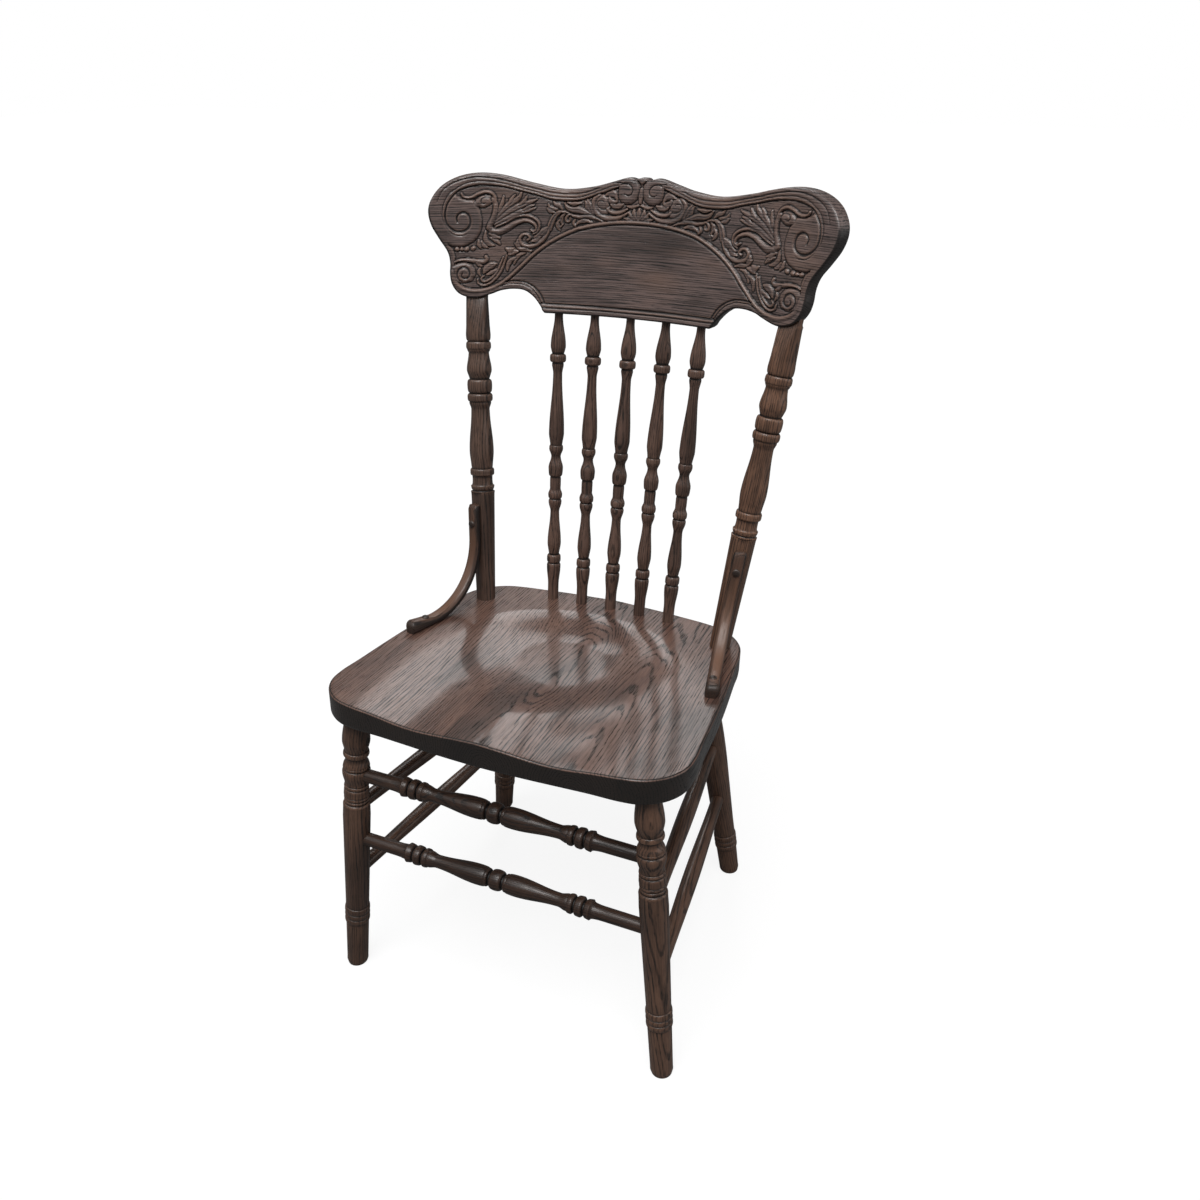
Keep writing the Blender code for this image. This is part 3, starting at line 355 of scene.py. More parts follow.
SEAT_OAK = StainedOak(
    "seat_stain", "seat_oak", (0.172, 0.092, 0.068), (0.020, 0.012, 0.009), (0.006, 0.005, 0.004),
    (0.235, 0.134, 0.098), roughness=0.30, coat=0.42, coat_roughness=0.13, dull=0.42, ring=0.0036,
    pith=(0.0, -0.040), lean=0.045, jag=0.0022, line=0.36, board=0.115, first_board=0.20, relief=0.30)
CREST_OAK = StainedOak(
    "crest_stain", "crest_oak", (0.208, 0.147, 0.133), (0.018, 0.013, 0.011), (0.007, 0.005, 0.005),
    (0.275, 0.164, 0.118), roughness=0.37, coat=0.30, coat_roughness=0.20, pith=(-0.05, 0.040), lean=0.03,
    line=0.40, pores=(600.0, 0.07))
TURNED_OAK = StainedOak(
    "turned_stain", "turned_oak", (0.172, 0.102, 0.077), (0.032, 0.020, 0.015), (0.007, 0.005, 0.004),
    (0.245, 0.145, 0.104), ring=0.0032)
WARM_OAK = StainedOak(
    "warm_stain", "turned_oak", (0.245, 0.128, 0.080), (0.044, 0.024, 0.016), (0.008, 0.005, 0.004),
    (0.320, 0.170, 0.104), coat=0.24)
SHADED_OAK = StainedOak(
    "shaded_stain", "turned_oak", (0.160, 0.096, 0.070), (0.030, 0.019, 0.015), (0.007, 0.005, 0.004),
    (0.230, 0.138, 0.098), coat=0.24, pith=(0.034, 0.010), lean=0.02)
LEG_OAK = StainedOak(
    "leg_stain", "turned_oak", (0.150, 0.081, 0.053), (0.029, 0.016, 0.011), (0.007, 0.005, 0.004),
    (0.210, 0.115, 0.073))
# A much darker copy of the same oak for the turned front rails: painted shade under the seat.
SHADED_RAIL_OAK = StainedOak(
    "shaded_rail_stain", "turned_oak", (0.052, 0.028, 0.019), (0.010, 0.006, 0.005), (0.004, 0.003, 0.003),
    (0.084, 0.046, 0.030), coat=0.12, ring=0.0028, pith=(0.022, 0.008))
BRACE_OAK = StainedOak(
    "brace_stain", "brace_oak", (0.122, 0.064, 0.042), (0.028, 0.015, 0.010), (0.008, 0.006, 0.005),
    (0.255, 0.128, 0.076), roughness=0.40, coat=0.14, coat_roughness=0.18, ring=0.0024,
    pith=(0.030, 0.020), lean=0.02)
PLUG_OAK = StainedOak(
    "plug_stain", "plug_oak", (0.060, 0.036, 0.026), (0.028, 0.017, 0.013), (0.008, 0.005, 0.004),
    (0.110, 0.064, 0.044), roughness=0.36, coat=0.25, ring=0.0016, pith=(0.012, 0.0))


@dataclass(frozen=True)
class PlainSteel:
    """Drawn steel of the hidden brace screws."""

    name: str = "screw_metal"
    tone: Colour = (0.55, 0.54, 0.52)
    dull: Colour = (0.34, 0.33, 0.31)

    def material(self) -> bpy.types.Material:
        """Build steel with a little dull film in patches."""
        material, graph = new_material(self.name)
        place = graph.add("ShaderNodeTexCoord").outputs["Object"]
        film = graph.noise(place, 420.0, 3.0).outputs["Fac"]
        colour = graph.blend(graph.step(film, 0.40, 0.70), self.tone, self.dull)
        shader = graph.add("ShaderNodeBsdfPrincipled", {
            "Base Color": colour, "Metallic": 1.0, "Roughness": graph.step(film, 0.3, 0.7, 0.28, 0.45)})
        graph.add("ShaderNodeOutputMaterial", {"Surface": shader.outputs[0]})
        return material


def mark(shape: Solid, grain: Sequence[Vector], wear: Sequence[float] = ()) -> None:
    """Store each vertex's place in the grain and its wear, which on some pieces also carries painted shade
    and painted glints.

    Args:
        shape: Mesh that is marked.
        grain: Grain coordinates in vertex order.
        wear: Wear in vertex order, with any painted shade and glints; none where the mesh already has it.
    """
    place = shape.verts.layers.float_vector.new(GRAIN)
    for corner, spot in zip(shape.verts, grain):
        corner[place] = spot
    if len(wear):
        wear_and_shade_layer = shape.verts.layers.float.new(WEAR_AND_PAINTED_LIGHT)
        for corner, amount in zip(shape.verts, wear):
            corner[wear_and_shade_layer] = amount


def hand_over(name: str, shape: Solid, node: str, finish: StainedOak,
              sharp: float = math.radians(42.0)) -> None:
    """Make a finished piece that stands for a node of the frame.

    Args:
        name: Name of the piece.
        shape: Its mesh in the layout's place; it is freed.
        node: Node that the piece stands for.
        finish: What it is dressed in.
        sharp: Edges bent more than this stay crisp.
    """
    bmesh.ops.translate(shape, vec=FRAME_SHIFT, verts=shape.verts)
    mesh = bpy.data.meshes.new(name)
    shape.to_mesh(mesh)
    shape.free()
    mesh.shade_smooth()
    mesh.set_sharp_from_angle(angle=sharp)
    mesh.materials.append(finish.material())
    piece = put_in(name, mesh)
    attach(piece, BODY)
    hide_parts(node)
    LOG.info("%s stands for %s with %d faces", name, node, len(mesh.polygons))


def grow(shape: Solid, edges: Edges) -> tuple[Corners, Edges]:
    """Extrude a ring of open edges.

    Args:
        shape: Mesh that grows.
        edges: Edges of the last ring.

    Returns:
        Vertices and edges of the new ring.
    """
    fresh = bmesh.ops.extrude_edge_only(shape, edges=edges)["geom"]
    return ([item for item in fresh if isinstance(item, bmesh.types.BMVert)],
            [item for item in fresh if isinstance(item, bmesh.types.BMEdge) and item.is_boundary])


def saw(shape: Solid, point: Vector, normal: Vector) -> None:
    """Saw a mesh through a point, drop what lies beyond along the normal and close the cut."""
    bmesh.ops.bisect_plane(shape, geom=[*shape.verts, *shape.edges, *shape.faces], plane_co=point,
                           plane_no=normal, clear_outer=True)
    bmesh.ops.edgeloop_fill(shape, edges=[edge for edge in shape.edges if edge.is_boundary])


def along(start: Vector, direction: Vector) -> Matrix:
    """Give the placing whose Z axis runs along a direction from a point."""
    return Matrix.Translation(start) @ direction.to_track_quat("Z", "Y").to_matrix().to_4x4()


def beyond(end: Vector, inner: Vector) -> Vector:
    """Give the point past the end of a run, mirrored where the end is on the middle line."""
    if end.x == 0.0:
        return Vector((-inner.x, inner.y))
    return end * 2.0 - inner


def smooth_run(points: Sequence[Pair], steps: int) -> list[Vector]:
    """Run a smooth curve through points.

    Args:
        points: Points that the curve passes.
        steps: Straight steps from each point to the next.

    Returns:
        Points of the curve, both ends included.
    """
    knots = [Vector(point) for point in points]
    knots = [beyond(knots[0], knots[1])] + knots + [beyond(knots[-1], knots[-2])]
    run = []
    for a, b, c, d in zip(knots, knots[1:], knots[2:], knots[3:]):
        for step in range(steps):
            t = step / steps
            run.append(0.5 * (2.0 * b + (c - a) * t + (2.0 * a - 5.0 * b + 4.0 * c - d) * t * t
                              + (3.0 * b - 3.0 * c + d - a) * t ** 3))
    return run + [knots[-2]]


def mirrored_loop(half: Sequence[Vector]) -> list[Vector]:
    """Close half an outline that starts and ends on the middle line."""
    return list(half) + [Vector((-point.x, point.y)) for point in reversed(half[1:-1])]


def rounded(value: Any) -> Any:
    """Give a smooth step from 0 to 1 over the same range, of a number or an array."""
    held = np.minimum(np.maximum(value, 0.0), 1.0)
    return held * held * (3.0 - 2.0 * held)


@dataclass
class Turning:
    """A stick turned on the lathe, laid out along its own Z axis."""

    name: str
    node: str
    outline: Outline             # height and radius, from one end to the other
    sides: int
    seed: int
    spread: float = 0.0040       # how far the wear looks along the stick
    depth: float = 0.0012        # hollow that counts as full of stain and in painted shade
    crisp: float = 0.85          # how much prouder beads are, and how much deeper hollows
    sample: float = 0.0005       # step at which the wear is worked out
    weld: float = 0.000002       # points nearer than this become one
    grain_turn: float = 2.4      # turn of the wood from one seed to the next
    grain_step: float = 0.618    # share of the wood's length from one seed to the next
    grain_length: float = 0.9

    def hollow_and_ridge_at(self, heights: np.ndarray) -> np.ndarray:
        """Compare the outline with its own average to find hollows and ridges.

        Args:
            heights: Heights along the stick.

        Returns:
            Wear at each height: stain and painted shade in hollows, rubbing on ridges.
        """
        known = np.array(sorted(self.outline))
        fine = np.arange(known[0, 0], known[-1, 0], self.sample)
        radius = np.interp(fine, known[:, 0], known[:, 1])
        count = max(int(self.spread / self.sample), 1)
        padded = np.pad(radius, count, mode="edge")
        mean = np.convolve(padded, np.ones(2 * count + 1) / (2 * count + 1), mode="valid")
        return np.interp(heights, fine, np.clip((radius - mean) / self.depth, -1.0, 1.0))

    def stepped(self) -> Outline:
        """Give the outline with steps near the ends of long straight runs, so that wear stays there."""
        run = [self.outline[0]]
        for (low, start), (high, end) in zip(self.outline, self.outline[1:]):
            near = self.spread / max(abs(high - low), self.spread)
            shares = (near, 1.0 - near) if near < 0.45 else ()
            run += [(low + (high - low) * share, start + (end - start) * share) for share in shares]
            run.append((high, end))
        return run

    def spin(self) -> Solid:
        """Spin the outline about Z, with its grain and wear marked."""
        shape = bmesh.new()
        outline = self.stepped()
        proud = self.hollow_and_ridge_at(np.array([height for height, _ in outline])) * self.depth * self.crisp
        outline = [(height, radius + more) for (height, radius), more in zip(outline, proud)]
        profile = [(outline[0][0], 0.0), *outline, (outline[-1][0], 0.0)]
        corners = [shape.verts.new((radius, 0.0, height)) for height, radius in profile]
        edges = [shape.edges.new(pair) for pair in zip(corners, corners[1:])]
        bmesh.ops.spin(shape, geom=corners + edges, axis=(0.0, 0.0, 1.0), angle=2.0 * math.pi,
                       steps=self.sides, use_merge=True)
        bmesh.ops.remove_doubles(shape, verts=shape.verts, dist=self.weld)
        bmesh.ops.recalc_face_normals(shape, faces=shape.faces)
        turn = Matrix.Rotation(self.seed * self.grain_turn, 3, "Z")
        place = self.grain_length * (self.grain_step * self.seed % 1.0) - self.grain_length / 2.0
        shift = Vector((0.0, 0.0, place))
        grain = [turn @ corner.co + shift for corner in shape.verts]
        mark(shape, grain, self.hollow_and_ridge_at(np.array([corner.co.z for corner in shape.verts])))
        return shape

    def build(self, placing: Matrix, finish: StainedOak) -> None:
        """Turn the stick, put it in its place and dress it."""
        shape = self.spin()
        bmesh.ops.transform(shape, matrix=placing, verts=shape.verts)
        hand_over(self.name, shape, self.node, finish)


@dataclass
class SeatPlank:
    """Saddled plank seat, tilted back; outline in the plank's plane, Y from the spindle row."""

    height: float = 0.457
    row_y: float = 0.200
    tilt: float = math.radians(2.9)
    thickness: float = 0.038
    front: float = 0.402
    back: float = 0.011
    shift: float = -0.002
    front_width: float = 0.519
    back_width: float = 0.440
    front_bow: float = 0.008
    side_bow: float = 0.003
    back_bow: float = 0.023
    front_corner: float = 0.068
    back_corner: float = 0.085
    corner_steps: int = 4
    curve_steps: int = 6         # from each point of the outline to the next
    half_bow: float = 0.1        # share of the back's bow in each of its halves
    top_round: float = 0.0030
    under_round: float = 0.0080
    bowl_depth: float = 0.013
    bowl_y: float = -0.150
    bowl_half: Pair = (0.172, 0.126)
    bowl_front: float = 0.195    # reach of the bowl towards the front, where its wall is long
    bowl_steepness: float = 1.60
    thigh_depth: float = 0.008
    thigh_x: float = 0.100
    thigh_half_width: float = 0.085
    thigh_start: float = -0.100
    thigh_steepness: float = 1.6
    thigh_spread: float = 1.8
    edge_line: float = 0.0012    # height of the first strip of the side
    rim_marks: tuple[float, ...] = (0.02, 0.2, 0.6)         # shares of the top's rounding
    rim_line_glint_and_shade: tuple[float, ...] = (0.0, -0.8, 0.4, -1.0)    # of the top, a dark strip, a painted glint strip, and the side and underside in painted shade
    pith_aside: float = 0.25     # from the plank's middle to where its grain is counted from
    rings: int = 70              # rings of faces from the edge to the middle of the top

    @property
    def turn(self) -> Matrix:
        """Tilt of the plank."""
        return Matrix.Rotation(-self.tilt, 4, "X")

    @property
    def up(self) -> Vector:
        """Direction square to the plank's top."""
        return self.turn.to_3x3() @ Vector((0.0, 0.0, 1.0))

    @property
    def origin(self) -> Vector:
        """Middle of the spindle row on the plank's top."""
        return Vector((0.0, self.row_y, self.height))

    def at(self, x: float, y: float, below: float = 0.0) -> Vector:
        """Give the point at X and Y on the top's plane or a depth below it."""
        anchor = self.origin - self.up * below
        flat = Vector((x, y, 0.0))
        return flat + Vector((0.0, 0.0, (anchor - flat).dot(self.up) / self.up.z))

    def fillet(self, before: Pair, corner: Pair, after: Pair, radius: float) -> list[Vector]:
        """Give the arc that rounds a corner between two straight lines."""
        first = (Vector(before) - Vector(corner)).normalized()
        last = (Vector(after) - Vector(corner)).normalized()
        half = first.angle(last) / 2.0
        centre = Vector(corner) + (first + last).normalized() * radius / math.sin(half)
        start = Vector(corner) + first * radius / math.tan(half) - centre
        end = Vector(corner) + last * radius / math.tan(half) - centre
        sweep = start.angle_signed(end)
        steps = range(self.corner_steps + 1)
        return [centre + Matrix.Rotation(-sweep * step / self.corner_steps, 2) @ start for step in steps]

    @staticmethod
    def bowed(start: Vector, end: Vector, bow: float, shares: Sequence[float]) -> list[Vector]:
        """Give points from start to end, pushed out by up to the bow at the middle."""
        run = end - start
        outward = Vector((run.y, -run.x)).normalized()
        return [start + run * share + outward * bow * (4.0 * share * (1.0 - share)) ** 2 for share in shares]

    def loop(self) -> list[Vector]:
        """Give the plank's closed outline."""
        front = (self.front_width / 2.0, -self.front)
        back = (self.back_width / 2.0, self.back)
        back_middle = Vector((0.0, self.back + self.back_bow))
        near = self.fillet((0.0, -self.front), front, back, self.front_corner)
        far = self.fillet(front, back, back_middle, self.back_corner)
        half = self.bowed(Vector((-near[0].x, near[0].y)), near[0], self.front_bow, (0.5, 0.6, 0.7, 0.8, 0.9))
        half += near + self.bowed(near[-1], far[0], self.side_bow, [step / 8.0 for step in range(1, 8)]) + far
        half += self.bowed(far[-1], back_middle, self.back_bow * self.half_bow, (0.25, 0.5, 0.75))
        half.append(back_middle)
        return mirrored_loop(smooth_run(half, self.curve_steps))

    def saddle(self, x: float, y: float) -> float:
        """Give the depth of the hollowed top under its rim."""
        length = self.bowl_half[1] if y > self.bowl_y else self.bowl_front
        reach = math.hypot(x / self.bowl_half[0], (y - self.bowl_y) / length)
        bowl = self.bowl_depth * rounded(self.bowl_steepness * (1.0 - reach))
        across = (abs(x) - self.thigh_x) / self.thigh_half_width
        forward = rounded(self.thigh_steepness * (self.thigh_start - y) / (self.front + self.thigh_start))
        return math.hypot(bowl, self.thigh_depth * math.exp(-self.thigh_spread * across * across) * forward)

    def edge_profile(self) -> list[tuple[float, float, bool]]:
        """Give the edge from the top inward to the underside: inset, height and if it hangs on the top."""
        quarter = [math.radians(angle) for angle in range(0, 91, 15)]
        top = [(self.top_round * (1.0 - math.sin(turn)), -self.top_round * (1.0 - math.cos(turn)), True)
               for turn in quarter]
        top.append((0.0, -self.top_round - self.edge_line, True))
        base = self.under_round - self.thickness
        under = [(self.under_round * (1.0 - math.cos(turn)), base - self.under_round * math.sin(turn), False)
                 for turn in quarter]
        return top + under

    def rim(self) -> list[tuple[Vector, Vector]]:
        """Give the outline's points with their outward directions."""
        loop = self.loop()
        runs = [after - before for before, after in zip(loop[-1:] + loop[:-1], loop[1:] + loop[:1])]
        return [(point, Vector((run.y, -run.x)).normalized()) for point, run in zip(loop, runs)]

    def roll_under(self, shape: Solid, ring: Corners, edges: Edges, order: Any) -> None:
        """Extrude the outline round the edge and close the underside.

        Args:
            shape: The plank's mesh.
            ring: Vertices of the outline.
            edges: Edges of the outline.
            order: Layer with each vertex's number in the outline.
        """
        rim = self.rim()
        for number, (inset, low, on_top) in enumerate(self.edge_profile()):
            if number:
                ring, edges = grow(shape, edges)
            for corner in ring:
                point, outward = rim[corner[order]]
                flat = point - outward * inset
                corner.co = (*flat, low - (self.saddle(*flat) if on_top else 0.0))
        bmesh.ops.edgeloop_fill(shape, edges=edges)

    def fill_top(self, shape: Solid, ring: Corners, edges: Edges, order: Any) -> None:
        """Fill the top with rings that follow the saddle and shrink to its middle.

        Args:
            shape: The plank's mesh.
            ring: Vertices of the outline.
            edges: Edges of the outline.
            order: Layer with each vertex's number in the outline.
        """
        middle = Vector((0.0, (self.back - self.front) / 2.0))
        outer = {corner[order]: corner.co.xy.copy() for corner in ring}
        for step in range(1, self.rings + 1):
            ring, edges = grow(shape, edges)
            for corner in ring:
                flat = middle + (outer[corner[order]] - middle) * (1.0 - step / self.rings)
                corner.co = (*flat, -self.saddle(*flat))
        bmesh.ops.pointmerge(shape, verts=ring, merge_co=(*middle, -self.saddle(*middle)))

    def wear(self, spot: Vector) -> float:
        """Give the wear value of a point: the top is plain, its edge has a dark line and then a painted
        glint, and the side and underside are in painted shade.
        """
        down = -spot.z - self.saddle(spot.x - self.shift, spot.y)
        return self.rim_line_glint_and_shade[sum(down > self.top_round * share for share in self.rim_marks)]

    def build(self) -> None:
        """Draw the outline, extrude it ring by ring and sink the saddle."""
        shape = bmesh.new()
        order = shape.verts.layers.int.new("order")
        ring = [shape.verts.new((*point, 0.0)) for point in self.loop()]
        for number, corner in enumerate(ring):
            corner[order] = number
        edges = [shape.edges.new(pair) for pair in zip(ring, ring[1:] + ring[:1])]
        self.roll_under(shape, ring, edges, order)
        self.fill_top(shape, ring, edges, order)
        shape.verts.layers.int.remove(order)
        bmesh.ops.translate(shape, vec=(self.shift, 0.0, 0.0), verts=shape.verts)
        bmesh.ops.recalc_face_normals(shape, faces=shape.faces)
        spots = [corner.co for corner in shape.verts]
        mark(shape, [Vector((spot.x + self.pith_aside, spot.z, spot.y)) for spot in spots],
             [self.wear(spot) for spot in spots])
        placing = Matrix.Translation(self.origin) @ self.turn
        bmesh.ops.transform(shape, matrix=placing, verts=shape.verts)
        hand_over("saddled_seat", shape, "seat", SEAT_OAK)


class Profile(Enum):
    """Cross-section of a pressed line."""

    ROLL = "roll"                # half round and proud
    LEAF = "leaf"                # proud with a vein down its middle
    GROOVE = "groove"            # cut into whatever is there


@dataclass(frozen=True)
class Stroke:
    """A pressed line on the crest's right half; it is mirrored on the left. Sizes in millimetres."""

    profile: Profile
    height: float
    widths: tuple[float, ...]    # half widths, spread evenly from start to end
    path: tuple[Pair, ...]       # S along the bend and H up the face


ROLL, LEAF, GROOVE = Profile.ROLL, Profile.LEAF, Profile.GROOVE


@dataclass(frozen=True)
class Boss:
    """A raised pad with a soft edge on the crest's right half, in millimetres."""

    height: float
    edge: float
    border: tuple[Pair, ...]


RIM_GROOVES = (
    Stroke(GROOVE, 1.5, (0.9, 1.2, 1.2, 1.2, 1.2, 1.3, 0.4), (
        (26, 173.5), (34, 174.2), (42, 173.2), (50, 170.5), (60, 167), (70, 163), (80, 160), (90, 158.2),
        (100, 157.6), (115, 157.6), (130, 158.8), (150, 163.2), (170, 167.5), (190, 172.5), (205, 175.5),
        (220, 177.5), (235, 178), (250, 176), (260, 173), (270, 168.5), (280, 161), (285, 152.5),
        (287.5, 145))),
    Stroke(GROOVE, 1.2, (0.8, 1.0, 1.0, 1.0, 1.0, 1.1, 1.1, 0.5), (
        (33, 171), (42, 169.5), (50, 166.6), (60, 163), (70, 159), (80, 155.5), (90, 153.3), (100, 152.5),
        (115, 152.8), (130, 154.4), (150, 159.3), (170, 163.6), (190, 168.3), (205, 171), (220, 172.3),
        (235, 172.3), (250, 169.5), (262, 163), (272, 155.5), (277.5, 145), (279.5, 135), (278.5, 125),
        (275, 117), (268, 107.5), (260, 101.5), (250, 100), (243, 102.5))),
    Stroke(GROOVE, 2.3, (1.0, 1.3, 1.3, 1.3, 1.3, 1.3, 1.4, 1.6, 2.0, 2.4, 1.5), (
        (33, 167), (40, 165.6), (50, 161.4), (60, 158.6), (70, 154.5), (80, 151.3), (90, 149), (100, 148.1),
        (115, 148.3), (130, 150), (150, 155.3), (170, 159.6), (190, 164.2), (205, 166.4), (220, 167.3),
        (235, 167), (250, 163.6), (260, 159.2), (268, 150.5), (273, 142), (275, 132), (274, 122),
        (270, 114), (262, 107.5), (255, 105.5), (247, 106.5), (241, 111), (239, 118), (241, 126),
        (246, 130.5), (252, 131), (257, 128), (258.5, 123), (257, 118.5))),
)

VOLUTES = (
    Boss(2.7, 4.5, ((235, 147.5), (231, 143), (226, 133), (223, 122), (222.5, 112), (224, 104), (228, 97),
                    (233, 91.5), (240, 88), (247, 85.5), (255, 85), (263, 86), (270, 89), (276, 92),
                    (310, 110), (310, 170), (275, 165), (264, 157), (258, 152.5), (250, 149), (243, 148.8))),
    Boss(2.5, 5.0, ((206, 144), (209, 150), (215, 153.4), (222, 154), (229, 152), (234, 148), (235, 143),
                    (231, 139), (225, 137), (219, 138), (214, 141), (211, 143.5))),
    Boss(2.9, 6.0, ((33, 168), (33, 160), (31, 153), (26, 148), (20, 146.5), (13, 147.5), (7, 151.5),
                    (3, 157), (1.2, 164), (2, 171), (6, 177), (10, 184), (34, 184))),
    Boss(2.9, 6.0, ((226, 47), (227.5, 55), (233, 61.5), (242, 64.5), (252, 63), (261, 60), (268, 50),
                    (266, 36), (256, 34), (248, 36.5), (240, 36), (231, 38))),
    Boss(2.4, 4.0, ((44, 147), (46, 154), (52, 158.5), (59, 158), (65, 153), (66.5, 146), (64, 138),
                    (58, 132.5), (50, 130), (44, 134), (42, 140))),
)

CENTRE_STROKES = (
    Stroke(GROOVE, 1.6, (1.0, 1.3, 1.2, 0.6), (
        (30, 171.5), (25, 173.3), (17, 172), (12.6, 167), (12.6, 162), (15, 159), (19, 158), (23.5, 160.5))),
    Stroke(GROOVE, 1.3, (0.5, 1.1, 1.1, 0.9), (
        (51.5, 147), (52, 149.5), (56, 150.8), (60, 149), (61, 144.5), (57, 140.5), (50, 139.5), (45, 142),
        (43.5, 148))),
    Stroke(GROOVE, 1.0, (0.6, 0.9, 0.9, 0.5), (
        (58, 156), (63, 150.5), (64, 143), (61, 136.5), (54, 131.5), (44, 130), (34, 131.5), (24, 136.5))),
    Stroke(ROLL, 2.0, (1.2, 2.8, 2.8, 2.2), (
        (15, 136.5), (22, 132), (32, 128.2), (44, 127.4), (54, 129.6), (62, 135), (66.3, 143), (66, 151),
        (60, 158.5))),
    Stroke(ROLL, 1.6, (0.9, 2.0, 2.0, 1.2), (
        (17, 141), (25, 136.8), (34, 135), (42, 136.4), (46.5, 140.5))),
    Stroke(LEAF, 1.4, (0.8, 2.6, 1.0), ((33, 152), (37, 148.5), (43, 150.5), (45, 156))),
    Stroke(LEAF, 1.5, (0.8, 2.4, 2.0, 0.7), ((24, 146.5), (30, 144), (37, 143.5), (42, 145.5))),
    Stroke(LEAF, 1.3, (1.0, 3.2, 1.0), ((34, 153), (38, 159), (45, 160), (50, 157.5))),
    Stroke(LEAF, 1.8, (0.8, 2.4, 2.2, 0.6), ((64, 131), (69.5, 137), (72, 144), (76, 151))),
    Stroke(LEAF, 1.5, (0.7, 1.8, 1.6, 0.6), ((70, 135), (75.5, 140), (77, 146), (79.5, 149.5))),
    Stroke(LEAF, 1.8, (0.8, 2.4, 3.0, 2.4, 0.7), (
        (66, 130.5), (76, 133.5), (86, 136.8), (96, 137), (103, 139.5), (108, 145.5))),
    Stroke(ROLL, 1.6, (0.8, 1.9, 2.0, 1.4), (
        (50, 122.8), (60, 126.5), (72, 128.6), (84, 127.8), (93, 128.8), (99, 131))),
    Stroke(LEAF, 1.5, (0.7, 2.2, 0.8), ((66, 120.8), (74, 123.2), (84, 121.5), (89, 117.5))),
    Stroke(LEAF, 1.5, (0.7, 2.0, 0.8), ((84, 146.5), (90, 145.2), (97, 144.6), (104, 146.3))),
    Stroke(ROLL, 1.6, (1.0, 1.8, 1.2), ((91, 124.5), (92.5, 119.5), (89.5, 115.5))),
)

PALMETTE = (
    Stroke(LEAF, 2.0, (1.4, 2.8, 1.0), ((0, 127.5), (0, 135), (0, 142))),
    Stroke(LEAF, 1.8, (1.0, 2.3, 0.8), ((2.5, 128), (7, 134), (7.5, 141.5))),
    Stroke(LEAF, 1.6, (1.0, 2.0, 0.8), ((5, 127), (11, 131), (14.5, 137))),
    Stroke(LEAF, 1.4, (0.8, 1.8, 0.7), ((8, 126), (15, 127.5), (22, 129.5))),
    Stroke(ROLL, 1.6, (1.2, 1.8, 0.8), ((2, 146), (8, 144), (14, 143.5), (19, 144.6))),
    Stroke(LEAF, 1.6, (1.2, 2.4, 1.2), ((0, 149), (0, 158), (0, 167))),
)

MIDDLE_STROKES = (
    Stroke(ROLL, 1.9, (1.0, 2.0, 2.4, 2.4, 2.4, 2.2, 2.0, 1.6, 1.2), (
        (101, 132.5), (110, 134), (117, 131.8), (122.5, 126), (126, 117), (128.5, 107), (133.5, 97.5),
        (141, 91), (150, 87.2), (159, 87.6), (166, 92), (167, 98.5), (162, 103), (156, 102), (153, 98),
        (156.5, 95))),
    Stroke(ROLL, 1.6, (0.8, 1.6, 1.6, 0.9), ((113, 132.5), (119, 127), (122.5, 118), (124.5, 109))),
    Stroke(GROOVE, 0.9, (0.5, 0.8, 0.8, 0.5), ((118, 131), (124, 122), (128, 110), (135, 97), (146, 89.5))),
    Stroke(ROLL, 1.5, (0.8, 1.6, 1.6, 1.2, 0.9), (
        (97, 131), (100.5, 130.2), (104, 126), (102.5, 121.5), (98.5, 121.8), (98, 126))),
    Stroke(LEAF, 1.5, (0.8, 2.2, 0.8), ((106, 131.5), (110, 127), (110.5, 121), (107.5, 117.5))),
    Stroke(ROLL, 1.4, (0.7, 1.4, 1.2, 0.8), ((117, 119), (115.5, 114.5), (111, 114), (108, 117.5))),
    Stroke(LEAF, 1.4, (0.7, 2.0, 0.7), ((112, 124), (115, 119.5), (114.5, 113), (111, 109.5))),
    Stroke(LEAF, 1.5, (0.8, 2.4, 0.8), ((110, 137), (115, 141.5), (121, 143.5), (124, 147))),
    Stroke(LEAF, 1.5, (0.7, 2.0, 1.4, 0.7), ((117, 137), (124, 137.5), (129, 139.5), (131, 144))),
    Stroke(LEAF, 1.4, (0.7, 2.0, 0.7), ((121, 133), (127, 134), (132, 138))),
    Stroke(LEAF, 1.6, (0.8, 3.2, 2.8, 0.8), ((129.5, 113), (134, 108), (140, 102.5), (147, 98.5))),
    Stroke(LEAF, 1.5, (0.8, 2.0, 0.8), ((138, 100), (144, 95.5), (150.5, 94))),
    Stroke(LEAF, 1.5, (0.6, 2.0, 1.8, 0.6), ((149, 80.5), (158, 82.5), (166, 83.5), (174, 90.5))),
    Stroke(LEAF, 1.4, (0.7, 1.8, 0.7), ((166, 86.5), (170, 91), (170.5, 95.5))),
    Stroke(LEAF, 1.6, (0.8, 2.8, 1.2), ((168, 80), (174, 79.2), (181, 75.5))),
    Stroke(LEAF, 1.6, (0.9, 2.4, 1.0), ((175, 84), (180.5, 81), (185.5, 83.5))),
    Stroke(LEAF, 1.5, (0.8, 2.2, 0.8), ((158, 77.5), (165, 75.5), (170.5, 69.5), (172.5, 62.5))),
    Stroke(LEAF, 1.5, (0.8, 2.4, 0.9), ((171, 71.5), (177.5, 67.5), (181, 61), (181.5, 53.5))),
)

